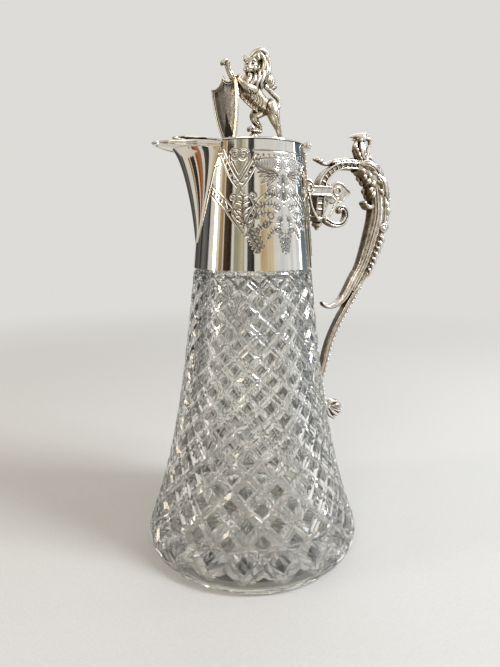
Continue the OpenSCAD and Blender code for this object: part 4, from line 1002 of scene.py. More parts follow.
def lionBlobs():
    blobs = chain([(-3.2, 0, 28.2, 5.6), (0.6, 0, 25.6, 5.2), (4.6, 0, 23.2, 4.3), (8.2, 0, 22.0, 4.0),
                   (11.4, 0, 21.0, 4.2)], 3)
    blobs += chain([(-2.4, -0.2, 30.4, 5.2), (0.6, 0, 34, 5.0), (2.6, 0, 38.2, 4.6), (3.6, 0, 42.8, 3.9)], 3)
    blobs += chain([(2.4, 0, 30.2, 3.6), (5.2, 0, 36.0, 3.2), (6.2, 0, 42.0, 2.9)], 3)
    # skull, cheeks, muzzle, chin and brows; the face turns towards the near side
    blobs += [((-1.2, -0.9, 40.3, 4.1), (-2.4, -1.7, 38.6, 3.5)), ((-3.7, -2.7, 37.5, 2.25), (-4.7, -3.5, 37.0, 1.75))]
    blobs += [((-2.0, -4.0, 37.8, 1.9), (-2.6, -3.7, 37.0, 1.6)), ((-4.6, -0.6, 37.8, 1.7), (-4.8, -1.2, 37.0, 1.5))]
    blobs += [((-4.6, -3.4, 39.9, 0.75), (-5.5, -4.2, 38.1, 0.85)), ((-5.2, -3.9, 37.9, 0.8), (-5.0, -4.4, 37.9, 0.6))]
    blobs += [((-3.7, -2.8, 34.9, 1.5), (-4.3, -3.3, 34.7, 1.1)), ((-3.6, -2.8, 34.0, 1.2), (-3.5, -2.6, 31.8, 0.5))]
    for centre in ((-2.5, -4.5, 41.9), (-5.0, -1.7, 41.9)):
        blobs += chain([(centre[0] + 1.3, centre[1] - 0.3, centre[2] - 0.7, 0.5),
                        (centre[0], centre[1], centre[2], 0.75), (centre[0] - 0.5, centre[1] + 0.2, centre[2] - 0.6,
                                                                  0.5)], 2)
    blobs += [((0.4, -4.4, 43.0, 1.25), (-0.2, -4.8, 44.6, 0.7)), ((-4.0, 1.2, 43.2, 1.25), (-4.2, 1.4, 44.9, 0.7))]
    # mane
    near = [[(-1.4, -3.2, 43.6, 1.0), (1.2, -4.4, 45.2, 1.35), (3.6, -4.9, 43.2, 1.4), (3.8, -5.0, 39.8, 1.35),
             (2.2, -5.0, 37.2, 1.0), (1.0, -4.8, 37.4, 0.6)],
            [(-1.6, -1.2, 44.6, 1.1), (0.6, -2.2, 47.0, 1.5), (4.0, -2.8, 48.0, 1.65), (7.2, -3.0, 46.6, 1.4),
             (7.0, -3.6, 44.2, 0.8)],
            [(5.8, -3.8, 45.0, 1.4), (7.9, -3.6, 42.4, 1.5), (8.0, -3.7, 39.0, 1.45), (6.7, -4.1, 36.0, 1.25),
             (7.4, -3.8, 33.2, 0.55)],
            [(5.3, -4.7, 42.4, 1.1), (5.9, -4.9, 39.2, 1.3), (5.0, -4.9, 35.8, 1.25), (5.6, -4.3, 32.4, 0.55)],
            [(3.2, -5.0, 37.6, 1.0), (3.2, -5.4, 34.4, 1.3), (1.6, -5.4, 31.4, 1.15), (2.2, -4.9, 28.8, 0.5)],
            [(0.6, -5.0, 36.0, 1.0), (0.2, -5.5, 33.0, 1.3), (-1.4, -5.6, 30.2, 1.15), (-1.0, -5.4, 27.8, 0.5)],
            [(-1.8, -4.7, 34.6, 1.0), (-2.8, -5.3, 31.8, 1.3), (-4.6, -5.1, 29.4, 1.1), (-4.6, -4.8, 27.2, 0.5)],
            [(-4.0, -3.4, 33.4, 1.1), (-6.0, -3.8, 31.0, 1.3), (-7.6, -3.0, 28.4, 1.1), (-7.4, -2.8, 26.2, 0.5)],
            [(-4.6, -0.8, 32.6, 1.2), (-7.6, -0.6, 30.4, 1.4), (-8.9, -0.4, 27.6, 1.1), (-8.2, -0.4, 25.4, 0.5)]]
    for lock in near:
        blobs += chain(lock, 3)
        if lock[0][1] < -3:
            blobs += mirrored(chain(lock, 3))
    blobs += chain([(0.4, 0.8, 46.4, 1.2), (3.4, 0.6, 48.6, 1.5), (6.8, 0.2, 47.4, 1.5), (9.0, 0.0, 44.2, 1.4),
                    (9.2, 0, 40.4, 1.4), (7.8, 0, 36.4, 1.3), (8.4, 0, 33.4, 0.6)], 3)
    # belly fur
    for k in range(6):
        x, z = -7.6 + 1.9 * k, 25.0 - 1.35 * k + 0.06 * k * k
        blobs += chain([(x, 0, z, 1.3), (x + 0.6, 0, z - 1.4, 0.9), (x + 1.5, 0, z - 2.0, 0.4)], 2)
    # foreleg on the shield, and the raised one with its fist
    blobs += chain([(-2.2, -3.2, 27.4, 3.0), (-6.0, -3.9, 27.8, 2.4), (-8.6, -3.2, 29.6, 1.8), (-9.8, -1.8, 32.0, 1.6)],
                   4)
    blobs += chain([(-2.8, 3.4, 29.0, 3.0), (-7.0, 3.6, 31.4, 2.3), (-10.4, 3.8, 33.8, 1.85), (-12.4, 4.1, 36.6, 1.55),
                    (-13.6, 4.2, 39.6, 1.5)], 4)
    blobs += [((-13.8, 4.2, 40.6, 1.75), (-15.2, 4.2, 40.8, 1.5))]
    for k in range(4):
        y = 2.9 + 0.85 * k
        blobs += chain([(-14.6, y, 41.4, 0.75), (-16.0, y, 41.0, 0.8), (-16.7, y, 39.9, 0.6), (-16.2, y, 39.2, 0.4)], 2)
        blobs += chain([(-9.6, -2.8 + 0.7 * k, 32.6, 0.7), (-10.4, -2.8 + 0.7 * k, 33.6, 0.65),
                        (-11.4, -2.7 + 0.7 * k, 33.2, 0.5)], 2)
    # near hind leg, straight back, with its paw on the lid
    blobs += chain([(11.0, -2.0, 21.4, 4.1), (11.6, -3.2, 18.0, 3.7), (12.8, -3.6, 14.2, 2.8), (15.0, -3.6, 10.0, 1.8),
                    (16.4, -3.6, 6.4, 1.5), (16.0, -3.6, 3.0, 1.45), (15.6, -3.6, 1.5, 1.5)], 4)
    for k in range(4):
        y = -4.8 + 0.8 * k
        blobs += chain([(15.4, y, 1.6, 0.8), (13.4, y, 1.5, 0.85), (12.2, y, 0.8, 0.6)], 2)
    # far hind leg, bent, its paw on the ball
    blobs += chain([(9.4, 2.4, 21.0, 3.9), (6.4, 3.3, 18.8, 3.3), (3.8, 3.9, 16.6, 2.6), (4.6, 4.0, 14.0, 2.1),
                    (7.4, 4.0, 11.6, 1.8), (7.8, 4.0, 9.6, 1.8)], 4)
    blobs += chain([(7.6, 4.0, 9.4, 1.8), (5.2, 4.0, 9.6, 1.75), (3.0, 4.0, 9.4, 1.7)], 3)
    for k in range(4):
        y = 2.7 + 0.87 * k
        blobs += chain([(3.4, y, 10.4, 0.75), (1.4, y, 10.4, 0.8), (0.3, y, 9.2, 0.6), (0.7, y, 8.2, 0.35)], 2)
    # tail and its leaf-shaped tuft
    blobs += chain([(13.4, 0, 20.6, 2.1), (16.6, 0, 21.4, 1.75), (18.0, 0, 23.8, 1.55), (17.4, 0, 26.6, 1.5),
                    (14.4, 0, 28.4, 1.4), (11.2, 0, 30.4, 1.4), (8.6, 0, 31.6, 1.3)], 4)
    for tip in ((8.4, 38.6), (10.6, 39.6), (12.9, 38.6), (14.8, 36.0), (16.0, 32.6)):
        blobs += chain([(11.0, 0, 30.8, 1.2), ((11.0 + tip[0]) / 2 - 0.3, 0, (30.8 + tip[1]) / 2 + 0.3, 1.85),
                        (tip[0], 0, tip[1], 0.75)], 3)
    return blobs


def lionStrokes():
    lines = []
    for x0, z0, x1, z1, bend in ((-6.2, 26.4, -4.2, 21.8, 0.2), (-4.2, 26.0, -2.2, 21.0, 0.2),
                                 (-2.0, 25.2, -0.2, 20.4, 0.2), (0.4, 24.6, 1.8, 20.2, 0.18),
                                 (2.8, 24.0, 4.0, 20.0, 0.15), (9.2, 24.6, 8.0, 18.6, -0.25),
                                 (10.8, 16.2, 13.8, 11.8, 0.15), (12.8, 19.0, 13.4, 13.8, -0.15),
                                 (14.6, 10.8, 16.0, 5.4, 0.1), (3.0, 14.8, 6.6, 12.4, -0.2),
                                 (-11.4, 35.0, -13.0, 38.6, 0.1), (-8.0, 31.6, -11.2, 34.4, 0.1)):
        lines.append(arc((x0, z0), (x1, z1), bend))
    for tip in ((8.6, 36.6), (10.8, 36.6), (12.8, 35.0), (14.4, 32.8)):
        lines.append(arc((10.9, 30.8), tip, 0.05))
    lines += [arc((-5.8, 36.6), (-2.6, 36.0), 0.22), arc((-4.2, 35.2), (-2.4, 35.0), 0.2)]
    return lines


def buildLion():
    points, faces = voxelSkin(rounded(lionBlobs()), lion["voxel"])
    points = relax(points, faces, 2, 0.5)
    points = groove(points, faces, lionStrokes(), 0.5, 0.4)
    for x, y, z in ((-3.35, -4.95, 40.5), (-5.75, -2.55, 40.5)):  # eye sockets
        away = np.linalg.norm(points - (x, y, z), axis=1)
        push = (1 - smoothStep(0.5, 1.25, away)) * 0.45
        points = points - skinNormals(points, faces) * push[:, None]
    for x, y, z in ((-2.9, -4.6, 40.45), (-5.4, -2.3, 40.45)):
        eye, rim = capsule((x, y, z, lion["eye"]), (x, y, z + 0.01, lion["eye"]))
        points, faces = joinMeshes([(points, faces), (eye, rim)])
    points[:, 2] = np.maximum(points[:, 2], 0.02)
    ball = np.array([lion["ball"][0], lion["ball"][1], lion["ballRadius"] + 2.2])
    away = points - ball
    far = np.linalg.norm(away, axis=1)[:, None]
    points = np.where(far < lion["ballRadius"] + 0.03, ball + away / far * (lion["ballRadius"] + 0.03), points)
    makePiece("standing_lion", placed(points, lion["turn"], (0, 0, jug["lidTop"])), faces, finialSilver, "lid", "lion")
    # ball on a small turned foot
    profile = [(2.75, 0), (2.75, 0.5), (2.45, 0.85), (1.9, 1.1), (1.7, 1.6), (1.9, 2.2), (1.75, 2.5)]
    profile += [(2.9 * math.sin(t), 5.1 - 2.9 * math.cos(t)) for t in np.linspace(0.62, math.pi - 0.02, 22)]
    turned, skin = lathe(profile, 48)
    turned = turned + np.array([lion["ball"][0], lion["ball"][1], 0])
    makePiece("ball_on_foot", placed(turned, lion["turn"], (0, 0, jug["lidTop"])), skin, finialSilver, "lid",
              "paw_ball")
    print("lion:", len(faces), "faces")


def lathe(profile, sides, centre=(0, 0)):
    # closed turned form from (radius, height) points, capped at both ends
    angles = np.linspace(0, 2 * math.pi, sides, endpoint=False)
    points = [(centre[0] + r * math.cos(a), centre[1] + r * math.sin(a), z) for r, z in profile for a in angles]
    faces = gridFaces(len(profile), sides)
    faces.append(list(range(sides))[::-1])
    faces.append([(len(profile) - 1) * sides + k for k in range(sides)])
    return np.array(points), faces


# Shield: a double raised border round a plain, slightly domed field
shield = {"width": 20.6, "height": 36.0, "thick": 1.6, "turn": 23, "lean": 8, "place": (-13.6, 0.5)}


def buildShield():
    half, height, drop, sag = shield["width"] / 2, shield["height"], 3.6, 2.7
    chord = math.hypot(half, drop)
    hollow = ((chord / 2) ** 2 + sag * sag) / (2 * sag)
    sideRadius = (half ** 2 + (height - drop) ** 2) / (2 * half) * 1.12
    right = []
    for t in np.linspace(0, 1, 60):  # right side from the point up
        y = t * (height - drop)
        x = half - sideRadius + math.sqrt(max(sideRadius ** 2 - (y - (height - drop - 4)) ** 2, 0))
        right.append((max(x, 0.05), y))
    centre = np.array([half / 2, height - drop / 2]) + np.array([drop, half]) / chord * (hollow - sag)
    start = math.atan2(right[-1][1] - centre[1], right[-1][0] - centre[0])
    end = math.atan2(height - centre[1], -centre[0])
    start, end = start % (2 * math.pi), end % (2 * math.pi)
    for a in np.linspace(start, end, 26)[1:]:
        right.append((max(centre[0] + hollow * math.cos(a), 0.0), centre[1] + hollow * math.sin(a)))
    outline = np.array(right + [(-x, y) for x, y in right[::-1][1:-1]])
    outline = np.array([p for i, p in enumerate(outline) if np.linalg.norm(p - outline[i - 1]) > 0.02])
    core = np.array([0, height * 0.56])
    n, inward = len(outline), inwardSides(outline)

    def inset(distance):
        # a point that would cross the middle line stops on it
        moved = outline + inward * distance
        moved[:, 0] *= np.sign(moved[:, 0]) == np.sign(outline[:, 0])
        return moved

    # distance in from the edge and height of each line of the back, the edge and the double border
    steps = [(0.25, 0), (0, 0.2), (0, 1.35), (0.18, 1.6), (0.62, 1.66), (0.85, 1.45), (1, 1.1), (1.15, 1.1),
             (1.3, 1.38), (1.62, 1.42), (1.8, 1.15), (1.95, 0.92)]
    rings = [(inset(distance), np.full(n, height)) for distance, height in steps]
    last, low, rise = rings[-1][0], steps[-1][1], 0.55
    for t in (0.05, 0.12, 0.2, 0.3, 0.42, 0.55, 0.7, 0.85, 0.96):
        ring = last + (core - last) * t
        rings.append((ring, low + rise * smoothStep(0, 0.35, t) * (1 - (ring[:, 0] / half) ** 2)))
    points = [(p[0], p[1], up) for ring, heights in rings for p, up in zip(ring, heights)]
    points += [(core[0], core[1], low + rise), (core[0], core[1], 0.0)]
    faces = gridFaces(len(rings), n)
    hub = len(rings) * n
    for k in range(n):
        m = (k + 1) % n
        faces.append([(len(rings) - 1) * n + k, (len(rings) - 1) * n + m, hub])
        faces.append([m, k, hub + 1])
    place = (Matrix.Translation((*shield["place"], jug["lidTop"]))
             @ Matrix.Rotation(math.radians(shield["turn"]), 4, "Z")
             @ Matrix.Rotation(math.radians(-shield["lean"]), 4, "X") @ Matrix.Translation((shield["thick"], 0, 0))
             @ Matrix.Rotation(math.radians(-90), 4, "Z") @ Matrix.Rotation(math.radians(90), 4, "X"))
    points = np.array([place @ Vector(p) for p in points])
    points[:, 2] = np.maximum(points[:, 2], jug["lidTop"] + 0.02)
    foot, skin = lathe([(1.5, 0.02), (1.5, 0.5), (1.1, 0.9), (0.95, 2.6), (1.1, 3.6), (0.8, 4.0)], 24, (-13.0, 0.5))
    foot[:, 2] += jug["lidTop"]
    border = (len(steps) - 1) * n
    field = [k for k, f in enumerate(faces) if min(f) >= border]
    points, faces = joinMeshes([(points, faces), (foot, skin)])
    piece = makePiece("blank_shield", points, faces, finialSilver, "lid", "shield")
    piece.data.materials.append(satinPlate)
    for k in field:
        piece.data.polygons[k].material_index = 1
    crispEdges(piece, 38)


buildLion()
buildShield()
print("finial made")


# Handle castings: paths run in the plane of the handle as (x, z, thickness, width)
handle = {"voxel": 0.25, "fineVoxel": 0.22, "strapBeads": 24, "beadRadius": 0.95, "archFoot": 197.78}
gripPath = [(66.5, 226.6, 7.4, 9), (71.4, 225.7, 8.6, 10), (76.8, 222.6, 10.4, 10), (80.6, 217.6, 11.2, 10),
            (82.6, 211.6, 11.8, 10), (83.8, 205, 12.2, 10), (84.1, 198, 12.6, 10.4), (83.2, 191.4, 12.6, 10.4),
            (81.3, 184, 12.2, 10), (79.1, 176.4, 11.4, 9.6),
            (75.9, 167.4, 10.4, 9), (72.5, 160.4, 9.6, 8.4), (70.4, 156.6, 8.8, 8), (68.6, 153.4, 7.2, 7.6),
            (67.2, 151, 4.6, 7)]
archPath = [(67.5, 226.4, 3.8, 8.6), (60, 226.4, 3.8, 8.6), (54.5, 225.7, 3.8, 8.6), (49.8, 223.6, 4.2, 8.6),
            (46.2, 220.5, 4.6, 8.6), (43.6, 216.4, 5, 8.6), (42.2, 211, 5.2, 8.6), (41.8, 205, 5.4, 8.6),
            (41.4, 197.7, 5.6, 8.6)]
curlPath = [(70.6, 162.5, 5, 7.6), (68.8, 159, 5.4, 7.8), (66.6, 155.3, 5.2, 7.8), (63.8, 150.2, 4.9, 7.6),
            (60.8, 145.8, 4.3, 7.2), (57, 142.8, 3.4, 6.6), (52.6, 141.4, 2.6, 5.8), (49, 141.9, 2.3, 5.2),
            (47.4, 143.6, 2.0, 4.6)]
strapPath = [(73.2, 155.8, 4, 6.4), (71.3, 152.6, 4, 6.4), (67.6, 146.6, 4, 6.4), (63.7, 140.3, 4, 6.4),
             (59.6, 133.6, 4, 6.4), (56, 126.6, 4, 6.4), (53, 119.6, 4, 6.4), (50.8, 112.4, 4, 6.4), (49, 104, 4, 6.4)]
strapPath += [(float(glassRadius(z)) + 2.65, z, 4, 6.4) for z in (94, 86, 79)]


class Course:
    # a smooth line with its outward direction, thickness and width
    def __init__(self, stations, count=8):
        self.line = through(stations, count)
        way = np.gradient(self.line[:, :2], axis=0)
        way /= np.linalg.norm(way, axis=1)[:, None]
        self.out = np.stack([-way[:, 1], way[:, 0]], 1)
        steps = np.linalg.norm(np.diff(self.line[:, :2], axis=0), axis=1)
        self.length = np.concatenate([[0], np.cumsum(steps)])

    def at(self, length, share, y, *radius):
        # share -1 is the inner face and 1 the outer one
        x, z, thick, _, ox, oz = [np.interp(length, self.length, column) for column in (*self.line.T, *self.out.T)]
        return (x + ox * share * thick / 2, y, z + oz * share * thick / 2, *radius)


def sweep(course, section):
    # section(thickness, width, share of the way) gives points as (outwards, across)
    rows = len(course.line)
    loops = []
    for i in range(rows):
        x, z, thick, wide = course.line[i]
        q = section(thick, wide, i / (rows - 1))
        loops.append(np.stack([x + course.out[i, 0] * q[:, 0], q[:, 1], z + course.out[i, 1] * q[:, 0]], 1))
    n = len(loops[0])
    faces = gridFaces(rows, n)
    faces.append(list(range(n))[::-1])
    faces.append([(rows - 1) * n + k for k in range(n)])
    return np.concatenate(loops), faces


def roundedSection(square=0.55, ripple=None, steps=64):
    angle = np.linspace(0, 2 * math.pi, steps, endpoint=False)
    c = np.sign(np.cos(angle)) * np.abs(np.cos(angle)) ** square
    s = np.sign(np.sin(angle)) * np.abs(np.sin(angle)) ** square

    def section(thick, wide, share):
        across = s * wide / 2
        if ripple is not None:
            across = across + np.sign(s) * ripple(c, share) * np.abs(s) ** 2
        return np.stack([c * thick / 2, across], 1)
    return section


def gripRipple(c, share):
    # three reeds on the inner half, a gutter, and a plain bed for the leaves
    reeds = np.where((c > -0.95) & (c < -0.02), -0.4 * (1 - np.cos(2 * math.pi * (c + 0.95) / 0.31)), 0)
    gutter = -0.75 * smoothStep(-0.02, 0.08, c) * (1 - smoothStep(0.34, 0.44, c))
    early = smoothStep(0.16, 0.34, share)
    return (reeds + gutter) * early


def sculpted(name, node, parts, voxel=None, lines=None, width=0.45, depth=0.35, floor=None, inner=None):
    # floor and inner press the skin flat above a height, or outside a distance from the handle's plane
    points, faces = voxelSkin(parts, voxel or handle["voxel"])
    points = relax(points, faces, 1, 0.5)
    if lines:
        points = groove(points, faces, lines, width, depth)
    if floor:
        points[:, 2] = np.maximum(points[:, 2], floor)
    if inner:
        points[:, 1] = inner[0] * np.maximum(inner[0] * points[:, 1], inner[1])
    makePiece(name, points, faces, castSilver, "jug", node)


def buildGrip():
    grip = Course(gripPath)
    total = grip.length[-1]
    parts = [sweep(grip, roundedSection(0.6, gripRipple))]
    blobs, lines = [], []
    for side in (-1, 1):
        # two long smooth leaves that overlap down the outer edge, with veins along them
        for at, long in ((1.5, 15.0), (13.5, 16.0)):
            blobs += chain([grip.at(at, 0.3, side * 3.4, 1.6), grip.at(at + 0.3 * long, 0.5, side * 3.9, 2.9),
                            grip.at(at + 0.62 * long, 0.66, side * 3.7, 2.9),
                            grip.at(at + 0.88 * long, 0.9, side * 2.9, 1.8), grip.at(at + long, 1.1, side * 2.2, 0.8)],
                           5)
            for share in (0.3, 0.72):
                lines.append(np.array([grip.at(at + t * long, share + 0.16 * t, 0)[::2]
                                       for t in (0.12, 0.3, 0.5, 0.7, 0.84)]))
        for at in (4.0, 9.5, 16.5, 22.0):
            blobs += chain([grip.at(at, -0.1, side * 4.2, 0.8), grip.at(at + 1.5, 0.12, side * 4.6, 1.4),
                            grip.at(at + 3.4, 0.3, side * 4.7, 1.0), grip.at(at + 4.2, 0.12, side * 4.6, 0.6)], 3)
        # knotted leaves on the inner face under the arch
        for at, share, radius in ((3.0, -0.5, 1.9), (6.5, -0.95, 1.5), (9.0, -0.35, 1.7), (12.0, -0.85, 1.9),
                                  (16.0, -0.5, 2.1), (19.5, -0.9, 1.8), (23.0, -0.7, 1.9)):
            blobs += chain([grip.at(at, share, side * 3.3, 0.6 * radius),
                            grip.at(at + 1.4, share - 0.12, side * 3.7, radius),
                            grip.at(at + 3.2, share - 0.28, side * 3.0, 0.5 * radius)], 3)
        # bulb and knops below the thorn
        for at, share, radius in ((31.5, 0.72, 2.3), (35.0, 0.78, 2.6), (38.6, 0.74, 2.1)):
            place = grip.at(at, share, side * 2.9, radius)
            blobs.append((place, grip.at(at + 1.2, share, side * 3.1, radius * 0.9)))
        # volute with its eye
        eye = np.array(grip.at(44.6, 0.52, side * 4.6))
        curl = spiral((eye[0], eye[2]), 3.1, 1.55, 60, -1, 0.28, 34)
        for i, (a, b) in enumerate(zip(curl[:-1], curl[1:])):
            y = side * (4.6 + 0.012 * i)
            blobs.append(((a[0], y, a[1], 0.95), (b[0], y, b[1], 0.95)))
        blobs.append(((eye[0], side * 4.4, eye[2], 1.0), (eye[0], side * 4.9, eye[2], 0.8)))
        # curled leaves and a bead row down the outer edge
        for k, at in enumerate(np.arange(50.0, 74.0, 3.5)):
            size = 1.25 - 0.055 * k
            blobs += chain([grip.at(at, 0.42, side * 4.3, 0.6 * size), grip.at(at + 0.8, 0.62, side * 4.6, 1.25 * size),
                            grip.at(at + 2.6, 0.86, side * 4.2, 1.35 * size),
                            grip.at(at + 3.9, 0.72, side * 4.3, 0.8 * size),
                            grip.at(at + 3.4, 0.52, side * 4.3, 0.5 * size)], 3)
            blobs.append((grip.at(at + 1.2, 1.0, side * 2.6, 0.95), grip.at(at + 1.6, 1.0, side * 2.6, 0.95)))
        blobs += chain([grip.at(74.5, 0.7, side * 3.6, 1.3), grip.at(78.5, 0.72, side * 3.2, 1.0),
                        grip.at(total - 2, 0.4, side * 2.6, 0.7)], 4)
    # thorn, and the ridge of leaf tips along the back
    blobs += chain([grip.at(28.5, 0.9, 0, 2.3), grip.at(29.4, 1.3, 0, 1.5), grip.at(29.0, 1.62, 0, 0.6),
                    grip.at(28.2, 1.72, 0, 0.4)], 4)
    for at in np.arange(4.0, 27.0, 6.0):
        blobs += chain([grip.at(at, 0.8, 0, 2.0), grip.at(at + 4.0, 0.98, 0, 1.7), grip.at(at + 6.2, 1.08, 0, 0.6)], 4)
    sculpted("handle_grip", "handle_scroll", parts + rounded(blobs), lines=lines, depth=0.3)


def buildArch():
    arch = Course(archPath, 10)
    total = arch.length[-1]
    core = sweep(arch, roundedSection(0.3, None, 40))
    core = (core[0] * np.array([1, 0.72, 1]), core[1])
    blobs = []
    for side in (-1, 1):
        for share in (-1, 1):
            rail = [arch.at(at, share * 0.82, side * 3.75, 0.55) for at in np.linspace(0, total, 70)]
            blobs += beads(rail)
        for at in np.arange(2.0, total - 1, 3.2):  # ladder of small bars between the rails
            blobs.append((arch.at(at, -0.6, side * 3.3, 0.4), arch.at(at, 0.6, side * 3.3, 0.4)))
    sculpted("arched_band", "handle_arch", [core] + rounded(blobs, 10, 3), floor=handle["archFoot"])


def buildTongue():
    spine = [(68.4, 0, 228.4, 2.2), (64, 0, 228.9, 2.2), (59, 0, 229.1, 2.0), (54, 0, 228.6, 1.8), (50, 0, 227.6, 1.5),
             (46.6, 0, 226.9, 1.15), (44.2, 0, 227.4, 1.3), (41.6, 0, 228.7, 1.5), (39.4, 0, 229.4, 1.2),
             (38.0, 0, 229.0, 0.5)]
    blobs = chain(spine, 4)
    for side in (-1, 1):
        # smooth edge above, and curled lobes that hang from it
        blobs += chain([(66.8, side * 2.4, 228.9, 1.2), (61, side * 2.6, 229.1, 1.15), (55, side * 2.3, 228.6, 1.0),
                        (50, side * 1.5, 227.7, 0.9)], 6)
        for x, z, size in ((65.2, 227.9, 1.35), (60.6, 228.0, 1.4), (56.2, 227.7, 1.25), (52.4, 227.0, 1.0)):
            blobs += chain([(x + 2.0, side * 2.6, z + 0.9, 0.8), (x + 0.5, side * 3.1, z + 0.2, 0.8 * size),
                            (x - 0.8, side * 3.2, z - 0.6, size * 0.85), (x + 0.3, side * 3.3, z - 1.1, 0.45)], 3)
        for x, z in ((42.8, 228.2), (41.0, 229.0)):
            blobs += chain([(x + 0.8, side * 0.6, z, 0.8), (x - 0.2, side * 1.4, z + 0.2, 0.9),
                            (x - 1.4, side * 1.4, z - 0.4, 0.5)], 2)
    lines = [arc((x, 229.4), (x - 1.8, 226.6), -0.15) for x in (66.4, 63.2, 61.8, 58.6, 57.4, 54.4, 53.2, 51.0)]
    sculpted("leaf_on_arch", "leaf_tongue", rounded(blobs), lines=lines)


def buildBird():
    blobs = [((70.4, 0, 242.9, 3.0), (67.6, 0, 243.0, 2.4)), ((69.0, -1.0, 241.6, 1.9), (69.0, 1.0, 241.6, 1.9))]
    # bill, crest, loop behind, neck and breast
    blobs += chain([(67.6, 0, 243.7, 1.7), (65.2, 0, 243.6, 1.15), (63.0, 0, 243.2, 0.7), (61.6, 0, 242.5, 0.28)], 4)
    blobs += chain([(67.4, 0, 242.4, 1.3), (65.4, 0, 241.7, 0.7), (63.8, 0, 241.4, 0.35)], 3)
    blobs += chain([(71.6, 0, 245.0, 1.4), (73.4, 0, 245.4, 1.0), (74.8, 0, 244.4, 0.6)], 3)
    blobs += chain([(72.6, 0, 243.4, 1.6), (74.6, 0, 243.0, 1.5), (76.2, 0, 242.4, 1.4), (76.9, 0, 241.2, 1.1)], 4)
    blobs += chain([(76.2, 0, 241.6, 1.3), (76.3, 0, 239.2, 1.15), (75.4, 0, 236.8, 1.3), (74.6, 0, 233.8, 1.7),
                    (74.2, 0, 230.6, 2.0)], 4)
    blobs += chain([(70.4, 0, 242.4, 2.2), (70.0, 0, 239.4, 1.8), (70.4, 0, 236.4, 2.1), (71.2, 0, 233.0, 2.5),
                    (71.8, 0, 229.6, 3.0)], 4)
    blobs += chain([(67.2, 0, 240.8, 1.2), (66.2, 0, 238.6, 1.6), (66.4, 0, 236.0, 2.0), (67.8, 0, 232.8, 2.3),
                    (69.6, 0, 229.8, 2.4)], 4)
    for side in (-1, 1):
        for k in range(3):  # wing feathers
            blobs += chain([(69.2 + 0.9 * k, side * 1.6, 240.6 - 0.6 * k, 0.7),
                            (68.8 + 1.15 * k, side * 2.4, 236.6 - 0.3 * k, 0.95),
                            (70.0 + 1.1 * k, side * 2.6, 232.6, 0.9), (71.8 + 0.9 * k, side * 2.7, 229.8, 0.7)], 4)
        for x, z in ((66.8, 235.6), (68.2, 233.0), (69.8, 230.8)):
            blobs += chain([(x, side * 1.6, z + 1.2, 0.8), (x - 0.4, side * 2.3, z, 1.0),
                            (x + 0.5, side * 2.4, z - 1.6, 0.5)], 3)
        blobs.append(((68.2, side * 1.75, 243.9, 0.62), (68.2, side * 1.85, 243.9, 0.55)))
    blobs += chain([(75.6, 0, 232.6, 1.2), (77.6, 0, 231.6, 1.3), (78.4, 0, 229.8, 0.8)], 3)  # leaf behind the foot
    lines = [arc((70.2, 241.6), (70.0, 232.4), 0.12), arc((71.5, 240.6), (71.4, 231.4), 0.1),
             arc((72.8, 239.6), (72.8, 231.0), 0.08), arc((67.2, 240.4), (66.6, 234.6), 0.2),
             arc((73.4, 243.4), (77.0, 242.8), 0.1), arc((66.9, 242.9), (63.2, 242.6), 0.05)]
    sculpted("bird_thumbpiece", "thumb_bird", rounded(blobs), handle["fineVoxel"], lines, 0.4, 0.3)


def buildInnerScroll():
    stations = [(80.2, 208, 1.7), (80.2, 204.8, 1.75), (78.4, 202.6, 1.6), (75.9, 202.7, 1.5), (74.3, 204.2, 1.3)]
    blobs = []
    for y in (-2.2, 0, 2.2):
        blobs += chain([(x, y, z, r) for x, z, r in stations], 5)
    for y in (-2.4, -0.8, 0.8, 2.4):
        blobs += chain([(74.6, y, 203.8, 1.0), (73.6, y * 1.1, 205.0, 1.1), (73.6, y, 206.2, 0.55)], 3)
    blobs += [((74.0, -1.8, 204.8, 1.5), (74.0, 1.8, 204.8, 1.5))]
    sculpted("inner_bud_scroll", "inner_scroll", rounded(blobs), handle["fineVoxel"],
             [arc((80.2, 207.4), (75.6, 202.6), -0.5, 16)])


# Bracket: a C scroll, and pierced strapwork plates with a raised line round every edge
bracket = {"voxel": 0.2, "inner": 4.4, "outer": 5.35, "line": 0.55, "eye": (31.8, 212.55), "eyeRadius": 4.5,
           "eyeHole": (33.4, 212.75), "spade": (53.2, 211.15), "boss": (41.4, 195.4), "bar": (208.5, 213.8),
           "stay": 0.85}
spadeEdge = [(-5.8, 2.4), (-3.8, 4.1), (-1, 4.9), (1.8, 4.2), (4.9, 1.8), (7.5, -0.7), (4.6, -3), (2.9, -5.5),
             (0.4, -6.2), (-1.2, -5.2), (-3, -4.4), (-5.8, -2.4)]


def buildBracketScroll():
    stations = [(45.4, 195.5, 1.5), (47.6, 194.2, 1.65), (51, 192.5, 1.65), (55, 191.8, 1.65), (58.8, 193, 1.6),
                (61, 196.2, 1.5), (60.9, 199.8, 1.4), (58.8, 202.0, 1.3), (56.6, 201.8, 1.2),
                (55.9, 200.2, 1.1), (56.8, 199.2, 0.9)]
    line = through(stations, 6)
    way = np.gradient(line[:, :2], axis=0)
    way /= np.linalg.norm(way, axis=1)[:, None]
    blobs = []
    for y in (-1.9, 0, 1.9):
        for share in (-0.45, 0.45):
            for i in range(len(line) - 1):
                ends = []
                for j in (i, i + 1):
                    r = line[j, 2]
                    ends.append((line[j, 0] - way[j, 1] * r * share, y * (1 - 0.25 * j / len(line)),
                                 line[j, 1] + way[j, 0] * r * share, r * (0.58 if abs(y) > 1 else 0.62)))
                blobs.append(tuple(ends))
    blobs += [((56.6, -1.3, 200.4, 1.5), (56.6, 1.3, 200.4, 1.5))]
    sculpted("bracket_curl", "bracket_scroll", rounded(blobs, 10, 3), bracket["voxel"], [line[:-6, :2]], depth=0.45)


